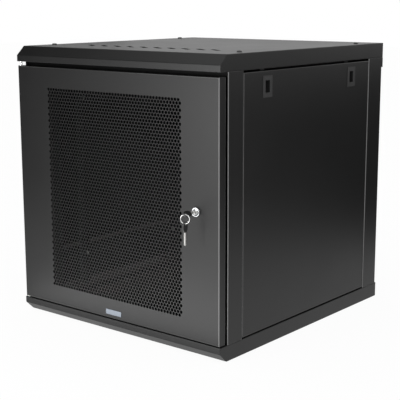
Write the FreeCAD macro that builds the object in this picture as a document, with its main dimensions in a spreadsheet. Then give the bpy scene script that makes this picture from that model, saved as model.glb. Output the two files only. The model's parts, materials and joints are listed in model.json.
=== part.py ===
import FreeCAD, Part
"""A 12U wall mount network cabinet: welded shell, perforated locking door, lift-off side panels, rack rails.

The origin is at the middle of the base's underside. +X is the cabinet's right as one faces its door,
+Y points to the wall behind it and +Z is up. Every length is in millimetres.
"""
import math
import os

import Sketcher

Vector = FreeCAD.Vector
Rotation = FreeCAD.Rotation
Placement = FreeCAD.Placement

doc = FreeCAD.newDocument("network_cabinet")
sheet = doc.addObject("Spreadsheet::Sheet", "Sizes")

# Every size that can be set by itself: alias, value, what it is.
SIZES = [
    ("width", 600, "overall width"),
    ("depth", 637, "overall depth, from the door's face to the wall"),
    ("height", 635, "overall height"),
    ("sheet_metal", 1.5, "thickness of the folded steel sheet"),
    ("cap_rise", 35, "height of the top and base pans"),
    ("chamfer_run", 22, "the pans' front bevel, from front to back"),
    ("chamfer_rise", 20.7, "the pans' front bevel, from top to bottom"),
    ("rim_width", 50, "inward rim of the pans, which the posts are welded to"),
    ("vent_count", 10, "vent slots in the top"),
    ("vent_pitch", 41, "from one vent slot to the next"),
    ("vent_length", 42, "end to end length of a vent slot"),
    ("vent_width", 9, "width of a vent slot"),
    ("vent_setback", 130, "vent slots behind the front face"),
    ("vent_turn", -35, "direction of a vent slot from the width, in degrees"),
    ("cap_screw_inset", 26, "top screws from the cabinet's sides"),
    ("cap_screw_front", 95, "front top screws behind the front face"),
    ("cap_screw_rear", 85, "rear top screws in front of the rear face"),
    ("post_setback", 25, "front posts behind the front face"),
    ("front_post_depth", 51, "front posts, from front to back"),
    ("rear_post_depth", 62, "rear posts, from front to back"),
    ("post_flange", 40, "outer flange of a post, which the door and the rear panel meet"),
    ("brace_flange", 55, "inner flange of a post, which carries the depth braces"),
    ("post_bend", 2.5, "outer bend radius of a post"),
    ("header_drop", 16, "front header below the top pan"),
    ("sill_rise", 13.5, "front sill above the base pan"),
    ("header_lip", 20, "back flange of header and sill"),
    ("door_side_gap", 3, "door to the cabinet's side line"),
    ("door_top_gap", 9.5, "door to the top pan, the room to lift the door off its pin"),
    ("door_bottom_gap", 3.5, "door to the base pan"),
    ("door_depth", 21.5, "depth of the door pan"),
    ("door_return", 15, "return flange round the back of the door pan"),
    ("door_bend", 2, "outer bend radius of the door pan"),
    ("field_border", 99, "perforated field to the door's side edges"),
    ("field_margin", 48, "perforated field to the door's top and bottom edges"),
    ("punch_columns", 8, "punched hexagonal holes in a row"),
    ("punch_pairs", 5, "pairs of rows, the second moved by half a pitch"),
    ("punch_web", 8, "metal between two holes of a row"),
    ("stiffener_width", 18, "door stiffener"),
    ("stiffener_depth", 12, "door stiffener"),
    ("stiffener_gap", 6, "perforated field to a door stiffener"),
    ("hinge_inset", 8, "hinge axis from the cabinet's side"),
    ("hinge_setback", 6, "hinge axis behind the front face"),
    ("pin_radius", 2.5, "hinge pin"),
    ("running_gap", 0.08, "radial clearance of a turning fit"),
    ("bush_radius", 4.2, "hinge washer"),
    ("bush_length", 3, "thickness of the upper hinge washer"),
    ("pin_tail", 14, "upper hinge pin inside the door"),
    ("pin_rise", 3, "lower hinge pin above the door's bottom wall"),
    ("pin_bracket", 11, "width of the bracket that steadies the upper hinge pin"),
    ("moving_gap", 0.3, "clearance between pieces that move past each other"),
    ("lock_inset", 59, "lock to the door's free edge"),
    ("lock_height", 315, "lock above the floor"),
    ("lock_flange", 10.5, "radius of the lock's front ring"),
    ("lock_proud", 5, "lock's front ring in front of the door"),
    ("lock_bevel", 2, "bevel of the lock's front ring"),
    ("barrel_radius", 9, "threaded barrel of the lock"),
    ("barrel_length", 26.7, "barrel behind the door's face"),
    ("lock_nut_flats", 24, "lock nut across flats"),
    ("lock_nut_length", 4, "thickness of the lock nut"),
    ("plug_radius", 6.5, "turning plug of the lock"),
    ("plug_recess", 0.5, "plug's face behind the lock's face"),
    ("drive_side", 8, "square drive between plug and cam"),
    ("cam_reach", 37, "lock axis to the cam's tip"),
    ("cam_width", 16, "width of the cam"),
    ("cam_gauge", 2, "thickness of the cam"),
    ("cam_screw_radius", 2.5, "screw that holds the cam"),
    ("cam_screw_flats", 10, "cam screw's head across its flats"),
    ("cam_screw_grip", 8, "cam screw inside the plug"),
    ("key_tilt", 55, "key's plane from level, in degrees"),
    ("key_gauge", 1.9, "thickness of a key's blade"),
    ("key_width", 6.5, "width of a key's blade"),
    ("key_length", 27, "blade from its grip to its tip"),
    ("key_exposed", 12.5, "blade outside the plug, where the key stops"),
    ("key_slack", 0.2, "keyway's clearance round the blade"),
    ("grip_length", 23, "length of a key's grip"),
    ("grip_width", 15, "width of a key's grip"),
    ("grip_gauge", 2.4, "thickness of a key's grip"),
    ("grip_hole", 3, "radius of the hole in a key's grip"),
    ("grip_hole_inset", 4, "hole's middle from the grip's end"),
    ("ring_radius", 9.4, "key ring, to the middle of its wire"),
    ("ring_wire", 1.5, "side of the key ring's flat wire"),
    ("ring_turn", 25, "key ring's plane from the door's, in degrees"),
    ("badge_width", 47, "bare badge plate"),
    ("badge_height", 12, "bare badge plate"),
    ("badge_gauge", 1, "thickness of the badge plate"),
    ("badge_offset", -3.5, "badge's middle to the right of the door's middle"),
    ("badge_centre", 51.5, "badge's middle above the floor"),
    ("bumper_radius", 5, "rubber bumper behind the door"),
    ("bumper_inset", 42, "bumpers from the door's top and bottom edges"),
    ("panel_recess", 0.8, "side panel behind the posts' outer faces"),
    ("panel_side_gap", 1, "side panel to the posts"),
    ("panel_top_gap", 8, "side panel to the top pan"),
    ("panel_bottom_gap", 4, "side panel to the base pan"),
    ("panel_return", 10, "depth of the side panel's folded edges"),
    ("hook_width", 20, "side panel's bottom hook"),
    ("hook_shoulder", 5, "hook's shoulder at each side"),
    ("hook_drop", 9, "hook below the side panel"),
    ("hook_reach", 14.2, "hook's outer face inside the side panel's face"),
    ("latch_front", 159, "front latch behind the front face"),
    ("latch_inset", 145, "rear latch in front of the rear face"),
    ("latch_drop", 37.5, "middle of a latch below the top pan"),
    ("bezel_width", 33, "face of a latch bezel"),
    ("bezel_height", 45, "face of a latch bezel"),
    ("bezel_lap", 2.2, "bezel's face over the side panel's cut-out"),
    ("bezel_wall", 1.5, "wall of the latch housing"),
    ("bezel_depth", 11.5, "latch housing, from front to back"),
    ("recess_width", 16, "finger recess"),
    ("recess_height", 25.5, "finger recess"),
    ("slider_height", 30, "latch slider"),
    ("slider_gauge", 3.7, "thickness of the latch slider"),
    ("latch_travel", 6.5, "travel of the latch slider"),
    ("tongue_width", 14, "latch tongue"),
    ("tongue_gauge", 2, "latch tongue"),
    ("tongue_clear", 1.5, "top pan above the released tongue"),
    ("finger_rib", 3, "height of the slider's finger rib"),
    ("rib_reach", 4, "finger rib in front of the slider"),
    ("brace_rise", 45, "height of a depth brace"),
    ("brace_width", 27.7, "depth brace, from side to side"),
    ("brace_low", 100, "lower depth braces above the floor"),
    ("brace_drop", 115, "upper depth braces below the top pan"),
    ("slot_rise", 8.4, "height of a brace's slot"),
    ("slot_end", 14, "end of a brace's slot from the post"),
    ("rail_inset", 75, "opening between the rails to the cabinet's side"),
    ("hole_inset", 7.55, "a row of rail holes to the opening between the rails"),
    ("unit_height", 44.45, "one rack unit"),
    ("unit_first", 6.35, "first hole of a rack unit above its edge"),
    ("unit_step", 15.875, "between the three holes of a rack unit"),
    ("rail_hole", 9.5, "square rail hole"),
    ("rail_gauge", 2, "thickness of a rail"),
    ("rail_face", 22, "width of a rail's face"),
    ("rail_web", 35, "depth of a rail's side"),
    ("rail_margin", 4, "rail past the last rack unit"),
    ("rail_front", 133, "front rails behind the front face"),
    ("rail_rear_inset", 132, "rear rails in front of the rear face"),
    ("rail_bolt_radius", 3, "bolt of a rail"),
    ("rail_bolt_setback", 22, "rail bolt behind the rail's face"),
    ("bolt_head_flats", 9, "bolt head across its flats"),
    ("bolt_head_length", 3, "thickness of a bolt head"),
    ("nut_flats", 11, "nut across its flats"),
    ("nut_length", 5, "thickness of a nut"),
    ("bolt_end", 2, "bolt past its nut"),
    ("rear_panel_lap", 25, "rear panel over the rear posts' flanges"),
    ("wall_bar_gauge", 4, "thickness of a wall bar"),
    ("wall_bar_inset", 15, "wall bars to the cabinet's sides"),
    ("upper_bar_rise", 45, "height of the upper wall bar"),
    ("upper_ear_rise", 23, "height of the upper wall bar's ears"),
    ("lower_bar_rise", 45, "height of the lower wall bar"),
    ("lower_bar_gap", 10, "lower wall bar above the base pan"),
    ("wall_hole_radius", 4.5, "wall bolt hole"),
    ("wall_spacing", 406.4, "between wall bolts, one stud bay"),
    ("wall_hole_drop", 28, "upper wall bolts below the top pan"),
    ("wall_hole_low", 64, "lower wall bolts above the floor"),
    ("port_length", 250, "rear cable port"),
    ("port_rise", 60, "height of the rear cable port"),
    ("port_corner", 18, "cut corners of the rear cable port"),
    ("access_radius", 10, "hole in the rear panel in front of each wall bolt"),
    ("port_height", 160, "middle of the rear cable port above the floor"),
    ("trim_lip", 3, "rubber trim over the edge of the cable port"),
    ("trim_gauge", 1.5, "thickness of the rubber trim"),
    ("hatch_width", 300, "cable cut-out in the base"),
    ("hatch_depth", 90, "cable cut-out in the base"),
    ("hatch_inset", 117, "middle of the base's cable cut-out in front of the rear face"),
    ("hatch_lap", 15, "blanking plate over the cable cut-out's edge"),
    ("stud_radius", 2, "welded stud of the blanking plate"),
    ("stud_flats", 7, "nut on a welded stud, across its flats"),
    ("stud_nut", 3.2, "thickness of the nut on a welded stud"),
    ("stud_end", 1.3, "stud past its nut"),
    ("screw_radius", 2, "screw in the top"),
    ("screw_head_radius", 4.5, "head of a screw in the top"),
    ("screw_head_length", 3.4, "thickness of that head"),
    ("screw_grip", 6, "that screw below its head"),
    ("bracket_width", 30, "bracket between top pan and rim"),
    # sizes that follow the ones above
    ("field_width", "=width - 2 * (door_side_gap + field_border)", "perforated field"),
    ("door_height", "=height - 2 * cap_rise - door_top_gap - door_bottom_gap", "height of the door"),
    ("field_height", "=door_height - 2 * field_margin", "perforated field"),
    ("field_centre", "=cap_rise + door_bottom_gap + door_height / 2", "middle of the field above the floor"),
    ("lock_offset", "=width / 2 - door_side_gap - lock_inset", "lock to the right of the door's middle"),
    ("latch_rear", "=depth - latch_inset", "rear latch behind the front face"),
    ("latch_height", "=height - cap_rise - latch_drop", "middle of a latch above the floor"),
    ("brace_high", "=height - cap_rise - brace_drop", "upper depth braces above the floor"),
    ("rack_opening", "=width - 2 * rail_inset", "between the rails"),
    ("rack_spacing", "=rack_opening + 2 * hole_inset", "between the two rows of rail holes"),
    ("rack_room", "=height - 2 * cap_rise - 2 * rail_margin", "room for rack units"),
    ("rack_units", "=floor(rack_room / unit_height)", "rack units"),
    ("rail_rear", "=depth - rail_rear_inset", "rear rails behind the front face"),
    ("wall_bar_width", "=width - 2 * wall_bar_inset", "wall bars"),
    ("wall_hole_high", "=height - cap_rise - wall_hole_drop", "upper wall bolts above the floor"),
    ("wall_rise", "=wall_hole_high - wall_hole_low", "between the upper and lower wall bolts"),
    ("hatch_setback", "=depth - hatch_inset", "middle of the base's cable cut-out behind the front face"),
]


def amount(value):
    return value.amount if isinstance(value, Size) else value


def words(value):
    return value.words if isinstance(value, Size) else repr(value)


class Size:
    """A length worked out from the sheet's cells, kept as a number and as the expression that gives it."""

    def __init__(self, number, expression):
        self.amount = float(number)
        self.words = expression

    def __add__(self, other):
        return Size(self.amount + amount(other), f"({self.words} + {words(other)})")

    def __radd__(self, other):
        return Size(amount(other) + self.amount, f"({words(other)} + {self.words})")

    def __sub__(self, other):
        return Size(self.amount - amount(other), f"({self.words} - {words(other)})")

    def __rsub__(self, other):
        return Size(amount(other) - self.amount, f"({words(other)} - {self.words})")

    def __mul__(self, other):
        return Size(self.amount * amount(other), f"({self.words} * {words(other)})")

    __rmul__ = __mul__

    def __truediv__(self, other):
        return Size(self.amount / amount(other), f"({self.words} / {words(other)})")

    def __neg__(self):
        return Size(-self.amount, f"(0 - {self.words})")


class Cells:
    """The sheet's cells by name."""


size = Cells()
for row, (alias, value, meaning) in enumerate(SIZES, start=1):
    sheet.set(f"A{row}", meaning)
    sheet.set(f"B{row}", str(value))
    sheet.setAlias(f"B{row}", alias)
doc.recompute()
for alias, _, _ in SIZES:
    setattr(size, alias, Size(sheet.get(alias), f"Sizes.{alias}"))

parts = {}  # the finished sub-parts by name


# ---------------------------------------------------------------- helpers


def bind(thing, name, value):
    """Ties a property to the expression of a Size, or to a plain number."""
    thing.setExpression(name, words(value))


def put(thing, x=0, y=0, height=0, turn=None):
    """Places an object. turn is a Rotation, or (axis, angle) with the angle from the sheet."""
    if isinstance(turn, tuple):
        axis, angle = turn
        thing.Placement = Placement(Vector(0, 0, 0), Rotation(axis, amount(angle)))
        bind(thing, "Placement.Rotation.Angle", angle)
    elif turn is not None:
        thing.Placement = Placement(Vector(0, 0, 0), turn)
    for name, value in (("x", x), ("y", y), ("z", height)):
        bind(thing, f"Placement.Base.{name}", value)
    return thing


def finish(name, thing):
    thing.Label = name
    parts[name] = thing
    return thing


def new_body(name):
    return doc.addObject("PartDesign::Body", name)


def origin_feature(body, role):
    return next(f for f in body.Origin.OriginFeatures if f.Role == role)


def new_sketch(body, plane, level, turn=0):
    """A sketch on one of the body's own planes, moved to a level along X, Y or Z and turned in its plane."""
    sketch = body.newObject("Sketcher::SketchObject", "sketch")
    sketch.AttachmentSupport = [(origin_feature(body, f"{plane}_Plane"), "")]
    sketch.MapMode = "FlatFace"
    sketch.AttachmentOffset = Placement(Vector(0, 0, 0), Rotation(Vector(0, 0, 1), amount(turn)))
    if isinstance(turn, Size):
        bind(sketch, "AttachmentOffset.Rotation.Angle", turn)
    # the XZ plane's normal is -Y
    bind(sketch, "AttachmentOffset.Base.z", -level if plane == "XZ" else level)
    return sketch


def hold(sketch, index, end, way, value):
    """Holds a point of the sketch at a distance from one of its axes, across it or up it."""
    kind, axis = {"across": ("DistanceX", -2), "up": ("DistanceY", -1)}[way]
    if abs(amount(value)) < 1e-9:
        sketch.addConstraint(Sketcher.Constraint("PointOnObject", index, end, axis))
        return
    held = sketch.addConstraint(Sketcher.Constraint(kind, -1, 1, index, end, amount(value)))
    if isinstance(value, Size):
        sketch.setExpression(f"Constraints[{held}]", value.words)


def add_outline(sketch, points):
    """A closed outline of straight lines through points, every one held by its two distances."""
    places = [Vector(amount(a), amount(b), 0) for a, b in points]
    count = len(places)
    first = sketch.GeometryCount
    lines = [Part.LineSegment(places[i], places[(i + 1) % count]) for i in range(count)]
    sketch.addGeometry(lines, False)
    for i in range(count):
        joined = Sketcher.Constraint("Coincident", first + i, 2, first + (i + 1) % count, 1)
        sketch.addConstraint(joined)
        for way, value in zip(("across", "up"), points[i]):
            hold(sketch, first + i, 1, way, value)


def add_circle(sketch, centre, radius):
    middle = Vector(amount(centre[0]), amount(centre[1]), 0)
    index = sketch.addGeometry(Part.Circle(middle, Vector(0, 0, 1), amount(radius)), False)
    for way, value in zip(("across", "up"), centre):
        hold(sketch, index, 3, way, value)
    held = sketch.addConstraint(Sketcher.Constraint("Radius", index, amount(radius)))
    if isinstance(radius, Size):
        sketch.setExpression(f"Constraints[{held}]", radius.words)


def extrude(body, plane, low, high, draw, hollow=False, turn=0):
    """A Pad, or a Pocket, of what draw(sketch) draws, from low to high along the axis across the plane."""
    # a pad grows along the plane's normal, a pocket against it, and the XZ plane's normal is -Y
    level = high if hollow != (plane == "XZ") else low
    sketch = new_sketch(body, plane, level, turn)
    draw(sketch)
    kind = "PartDesign::Pocket" if hollow else "PartDesign::Pad"
    feature = body.newObject(kind, "hollow" if hollow else "wall")
    feature.Profile = sketch
    bind(feature, "Length", high - low)
    return feature


def outline(*points):
    return lambda sketch: add_outline(sketch, points)


def rectangle(x0, x1, y0, y1):
    return outline((x0, y0), (x1, y0), (x1, y1), (x0, y1))


def circles(places, radius):
    def draw(sketch):
        for place in places:
            add_circle(sketch, place, radius)

    return draw


def facets(places, radius):
    """Twelve-sided holes that just take a round bar of the radius, where a circle isn't needed."""

    def draw(sketch):
        for x, y in places:
            reach = radius / math.cos(math.pi / 12)
            turns = [math.pi / 6 * step for step in range(12)]
            add_outline(sketch, [(x + reach * math.cos(a), y + reach * math.sin(a)) for a in turns])

    return draw


def cut_corners(x0, x1, y0, y1, corner):
    """A rectangle with its corners cut off."""
    return outline(
        (x0 + corner, y0),
        (x1 - corner, y0),
        (x1, y0 + corner),
        (x1, y1 - corner),
        (x1 - corner, y1),
        (x0 + corner, y1),
        (x0, y1 - corner),
        (x0, y0 + corner),
    )


def new_pattern(body, axis, pitch, count):
    pattern = body.newObject("PartDesign::LinearPattern", "row")
    pattern.Direction = (origin_feature(body, f"{axis}_Axis"), [""])
    bind(pattern, "Length", pitch * (count - 1))
    bind(pattern, "Occurrences", count)
    return pattern


def repeat(body, feature, axis, pitch, count):
    """Repeats a feature along one of the body's own axes."""
    pattern = new_pattern(body, axis, pitch, count)
    pattern.Originals = [feature]
    body.Tip = pattern


def round_edges(body, radius, wanted):
    """Fillets the straight edges whose two ends wanted(a, b) accepts."""
    doc.recompute()
    base = body.Tip
    names = []
    for number, edge in enumerate(base.Shape.Edges, start=1):
        if len(edge.Vertexes) == 2 and wanted(edge.Vertexes[0].Point, edge.Vertexes[1].Point):
            names.append(f"Edge{number}")
    if not names:
        raise RuntimeError(f"{body.Name} has no edge to round")
    fillet = body.newObject("PartDesign::Fillet", "bend")
    fillet.Base = (base, names)
    bind(fillet, "Radius", radius)
    return fillet


def along(direction, *marks):
    """A test for edges that run along direction (0, 1 or 2) and pass one of marks, {axis: value}."""

    def wanted(a, b):
        across = [i for i in (0, 1, 2) if i != direction]
        if any(abs(a[i] - b[i]) > 1e-6 for i in across):
            return False
        return any(
            all(abs(a[i] - amount(value)) < 1e-4 for i, value in mark.items()) for mark in marks
        )

    return wanted


# from +Z to the axis that a bar runs along
TURNS = {
    "X": Rotation(Vector(0, 1, 0), 90),
    "Y": Rotation(Vector(1, 0, 0), -90),
    "Z": Rotation(),
}


def cylinder(axis, x, y, height, radius, length):
    """A round bar from a point along +X, +Y or +Z."""
    bar = doc.addObject("Part::Cylinder", "bar")
    bind(bar, "Radius", radius)
    bind(bar, "Height", length)
    return put(bar, x, y, height, TURNS[axis])


def prism(axis, x, y, height, flats, length, sides=6):
    """A bar of six or twelve flat sides from a point along +X, +Y or +Z. flats is its width across two."""
    bar = doc.addObject("Part::Prism", "bar")
    bar.Polygon = sides
    bind(bar, "Circumradius", flats / (2 * math.cos(math.pi / sides)))
    bind(bar, "Height", length)
    return put(bar, x, y, height, TURNS[axis])


def fuse(*things):
    joined = doc.addObject("Part::MultiFuse", "joined")
    joined.Shapes = list(things)
    return joined


def cut(base, tool):
    left = doc.addObject("Part::Cut", "left")
    left.Base = base
    left.Tool = tool
    return left


def group(name, things):
    """Identical small pieces that share one node, each its own solid."""
    together = doc.addObject("Part::Compound", name)
    together.Links = list(things)
    return finish(name, together)


# ---------------------------------------------------------------- main places

half_width = size.width / 2
front = -size.depth / 2
rear = size.depth / 2
base_top = size.cap_rise
cap_bottom = size.height - size.cap_rise
skin = size.sheet_metal
rim_inner = half_width - size.rim_width
post_face = front + size.post_setback
front_post_back = post_face + size.front_post_depth
rear_flange = rear - size.wall_bar_gauge
rear_post_face = rear_flange - size.rear_post_depth
panel_face = half_width - size.panel_recess
panel_front = front_post_back + size.panel_side_gap
panel_back = rear_post_face - size.panel_side_gap
panel_bottom = base_top + size.panel_bottom_gap
panel_top = cap_bottom - size.panel_top_gap
hinge_x = size.hinge_inset - half_width
hinge_y = front + size.hinge_setback
door_left = size.door_side_gap - half_width
door_right = half_width - size.door_side_gap
door_bottom = base_top + size.door_bottom_gap
door_top = cap_bottom - size.door_top_gap
door_back = front + size.door_depth
hook_places = (front + size.latch_front, front + size.latch_rear)
tongue_inner = panel_face - size.panel_return - size.slider_gauge
SIDES = (("left", -1), ("right", 1))


# ---------------------------------------------------------------- the welded shell


def pan(name, closed, opened, bevel):
    """A folded pan with a bevelled front. closed and opened are the levels of its face and of its rim."""
    body = new_body(name)
    up = 1 if amount(closed) > amount(opened) else -1
    nose = closed - up * size.chamfer_rise
    profile = outline(
        (front, opened), (front, nose), (front + bevel, closed), (rear, closed), (rear, opened)
    )
    extrude(body, "YZ", -half_width, half_width, profile)
    hollow = outline(
        (front + skin, opened + up * skin),
        (front + skin, nose - up * skin * 0.5),
        (front + bevel + skin * 0.5, closed - up * skin),
        (rear - skin, closed - up * skin),
        (rear - skin, opened + up * skin),
    )
    low = opened if up > 0 else opened - skin
    # the sealed hollow reaches the outside through the opening inside the rim
    opening = rectangle(-rim_inner, rim_inner, front + size.rim_width, rear - size.rim_width)
    extrude(body, "XY", low, low + skin, opening, hollow=True)
    extrude(body, "YZ", skin - half_width, half_width - skin, hollow, hollow=True)
    return body


def hinge_hole(body, low, high, shape, radius):
    extrude(body, "XY", low, high, shape([(hinge_x, hinge_y)], radius), hollow=True)


def top_cap():
    body = pan("top_cap", size.height, cap_bottom, size.chamfer_run)
    level = size.height - skin
    # a slot is drawn in a sketch turned to its own direction, about the pan's middle
    first = -size.vent_pitch * (size.vent_count - 1) / 2
    reach = front + size.vent_setback
    turn = math.radians(amount(size.vent_turn))
    x = first * math.cos(turn) + reach * math.sin(turn)
    y = reach * math.cos(turn) - first * math.sin(turn)
    half = size.vent_length / 2
    side = size.vent_width / 2
    shape = cut_corners(x - half, x + half, y - side, y + side, size.vent_width / 3)
    vent = extrude(body, "XY", level, size.height, shape, True, size.vent_turn)
    repeat(body, vent, "X", size.vent_pitch, size.vent_count)
    extrude(body, "XY", level, size.height, facets(cap_screw_places(), size.screw_radius), True)
    hinge_hole(body, cap_bottom, cap_bottom + skin, circles, size.pin_radius + size.running_gap)
    inner = tongue_inner - size.tongue_gauge - 1
    for _, side in SIDES:
        for middle in hook_places:
            width = size.tongue_width / 2 + 1
            slot_edges = sorted((side * inner, side * (inner + size.tongue_gauge + 2)), key=amount)
            hole = rectangle(slot_edges[0], slot_edges[1], middle - width, middle + width)
            extrude(body, "XY", cap_bottom, cap_bottom + skin, hole, True)
    finish("top_cap", body)


def base_cap():
    body = pan("base_cap", 0, base_top, size.chamfer_run)
    extrude(body, "XY", 0, skin, hatch_outline(0), True)
    hinge_hole(body, base_top - skin, base_top, facets, size.pin_radius)
    outer = panel_face - size.hook_reach
    for _, side in SIDES:
        for middle in hook_places:
            width = size.hook_width / 2 + 1
            edges = sorted((side * (outer - 5), side * (outer + 1.5)), key=amount)
            hole = rectangle(edges[0], edges[1], middle - width, middle + width)
            extrude(body, "XY", base_top - skin, base_top, hole, True)
    finish("base_cap", body)


def cap_screw_places():
    x = half_width - size.cap_screw_inset
    rows = (front + size.cap_screw_front, rear - size.cap_screw_rear)
    return [(side * x, y) for y in rows for side in (-1, 1)]


def hatch_outline(lap):
    middle = front + size.hatch_setback
    half_x = size.hatch_width / 2 + lap
    half_y = size.hatch_depth / 2 + lap
    return rectangle(-half_x, half_x, middle - half_y, middle + half_y)


def post(name, side, face, back, face_flange, back_flange):
    """An upright channel, open to the inside, with its skin at the cabinet's side."""
    body = new_body(name)
    points = (
        (half_width, face),
        (half_width - face_flange, face),
        (half_width - face_flange, face + skin),
        (half_width - skin, face + skin),
        (half_width - skin, back - skin),
        (half_width - back_flange, back - skin),
        (half_width - back_flange, back),
        (half_width, back),
    )
    mirrored = [(side * a, b) for a, b in points]
    extrude(body, "XY", base_top, cap_bottom, outline(*mirrored))
    corners = [{0: side * half_width, 1: face}, {0: side * half_width, 1: back}]
    round_edges(body, size.post_bend, along(2, *corners))
    inside = side * (half_width - skin)
    hollows = [{0: inside, 1: face + skin}, {0: inside, 1: back - skin}]
    round_edges(body, size.post_bend - skin, along(2, *hollows))
    finish(name, body)


def posts():
    for word, side in SIDES:
        post(f"front_post_{word}", side, post_face, front_post_back, size.post_flange, size.brace_flange)
        post(f"rear_post_{word}", side, rear_post_face, rear_flange, size.brace_flange, size.post_flange)


def crossbar(name, near, far):
    """An angle behind the door, between the front posts. near is at the pan and far is its free edge."""
    body = new_body(name)
    inward = 1 if far.amount > near.amount else -1
    face = post_face
    points = (
        (face, near),
        (face, far),
        (face + skin, far),
        (face + skin, near + inward * skin),
        (face + size.header_lip, near + inward * skin),
        (face + size.header_lip, near),
    )
    inner = half_width - size.post_flange
    extrude(body, "YZ", -inner, inner, outline(*points))
    finish(name, body)


def rear_panel():
    body = new_body("rear_panel")
    back = rear_flange - skin
    edge = half_width - size.post_flange + size.rear_panel_lap
    extrude(body, "XZ", back - skin, back, rectangle(-edge, edge, base_top, cap_bottom))
    extrude(body, "XZ", back - skin, back, port_outline(0), True)
    extrude(body, "XZ", back - skin, back, facets(wall_bolt_places(), size.access_radius), True)
    finish("rear_panel", body)


def wall_bolt_places():
    heights = (size.wall_hole_low, size.wall_hole_low + size.wall_rise)
    return [(side * size.wall_spacing / 2, height) for height in heights for side in (-1, 1)]


def wall_bars():
    """Two flat bars across the back, which stand against the wall and take its bolts."""
    half = size.wall_bar_width / 2
    low = cap_bottom - size.upper_bar_rise
    ear = cap_bottom - size.upper_ear_rise
    body = new_body("wall_bar_upper")
    shape = outline(
        (-half_width, cap_bottom),
        (-half_width, ear),
        (-half, ear),
        (-half, low),
        (half, low),
        (half, ear),
        (half_width, ear),
        (half_width, cap_bottom),
    )
    extrude(body, "XZ", rear_flange, rear, shape)
    places = wall_bolt_places()
    extrude(body, "XZ", rear_flange, rear, circles(places[2:], size.wall_hole_radius), True)
    finish("wall_bar_upper", body)
    body = new_body("wall_bar_lower")
    low = base_top + size.lower_bar_gap
    shape = rectangle(-half, half, low, low + size.lower_bar_rise)
    extrude(body, "XZ", rear_flange, rear, shape)
    extrude(body, "XZ", rear_flange, rear, circles(places[:2], size.wall_hole_radius), True)
    finish("wall_bar_lower", body)


def port_outline(grown):
    """The cable port's edge, moved outwards by grown."""
    half = size.port_length / 2 + grown
    low = size.port_height - size.port_rise / 2 - grown
    high = size.port_height + size.port_rise / 2 + grown
    return cut_corners(-half, half, low, high, size.port_corner + grown * (2 - math.sqrt(2)))


def cable_port_trim():
    """Rubber edging in the rear panel's cable port: a lining with a lip on each face of the sheet."""
    body = new_body("cable_port_trim")
    back = rear_flange - skin
    low = back - skin - size.trim_gauge
    high = back + size.trim_gauge
    extrude(body, "XZ", low, high, port_outline(size.trim_lip))
    extrude(body, "XZ", low, high, port_outline(-size.trim_gauge), True)

    def groove(sketch):
        port_outline(size.trim_lip * 2)(sketch)
        port_outline(0)(sketch)

    extrude(body, "XZ", back - skin, back, groove, True)
    finish("cable_port_trim", body)


def hatch_cover():
    body = new_body("hatch_cover")
    extrude(body, "XY", skin, 2 * skin, hatch_outline(size.hatch_lap))
    extrude(body, "XY", skin, 2 * skin, facets(hatch_stud_places(), size.stud_radius), True)
    finish("hatch_cover", body)


def hatch_stud_places():
    half_x = size.hatch_width / 2 + size.hatch_lap / 2
    half_y = size.hatch_depth / 2 + size.hatch_lap / 2
    middle = front + size.hatch_setback
    return [(a * half_x, middle + b * half_y) for a in (-1, 1) for b in (-1, 1)]


def cap_brackets():
    """Z-shaped brackets inside the top pan, which take the top screws down to the rim."""
    brackets = []
    half = size.bracket_width / 2
    for x, y in cap_screw_places():
        side = 1 if x.amount > 0 else -1
        low = cap_bottom + skin
        high = size.height - skin
        inner = x - side * half
        outer = side * (half_width - skin)
        points = (
            (outer, low),
            (inner, low),
            (inner, high),
            (outer, high),
            (outer, high - skin),
            (inner + side * skin, high - skin),
            (inner + side * skin, low + skin),
            (outer, low + skin),
        )
        body = new_body("cap_bracket")
        extrude(body, "XZ", y - half, y + half, outline(*points))
        extrude(body, "XY", high - skin, high, facets([(x, y)], size.screw_radius), True)
        brackets.append(body)
    group("cap_brackets", brackets)


def cap_screws():
    tops = []
    for x, y in cap_screw_places():
        head = prism("Z", x, y, size.height, 2 * size.screw_head_radius, size.screw_head_length, 12)
        low = size.height - size.screw_grip
        tops.append(fuse(head, prism("Z", x, y, low, 2 * size.screw_radius, size.screw_grip, 12)))
    group("cap_screws", tops)


def hatch_nuts():
    """Studs welded to the base, each with the nut that clamps the blanking plate."""
    studs = []
    for x, y in hatch_stud_places():
        nut = prism("Z", x, y, 2 * skin, size.stud_flats, size.stud_nut)
        length = skin + size.stud_nut + size.stud_end
        studs.append(fuse(nut, prism("Z", x, y, skin, 2 * size.stud_radius, length, 12)))
    group("hatch_nuts", studs)


# ---------------------------------------------------------------- depth braces and rack rails


def brace_levels():
    return (("lower", size.brace_low), ("upper", size.brace_high))


def rail_outer():
    return size.rack_opening / 2 + size.rail_face


def depth_brace(name, side, low):
    """A channel from front post to rear post, open to the outside, with a slot for the rail bolts."""
    body = new_body(name)
    web = rail_outer() + size.moving_gap
    edge = web + size.brace_width
    high = low + size.brace_rise
    points = (
        (web, low),
        (edge, low),
        (edge, low + skin),
        (web + skin, low + skin),
        (web + skin, high - skin),
        (edge, high - skin),
        (edge, high),
        (web, high),
    )
    mirrored = [(side * a, b) for a, b in points]
    extrude(body, "XZ", front_post_back, rear_post_face, outline(*mirrored))
    middle = low + size.brace_rise / 2
    half = size.slot_rise / 2
    start = front_post_back + size.slot_end
    end = rear_post_face - size.slot_end
    low_x, high_x = sorted((side * web, side * (web + skin)), key=amount)
    shape = cut_corners(start, end, middle - half, middle + half, half / 2)
    extrude(body, "YZ", low_x, high_x, shape, True)
    finish(name, body)


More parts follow.
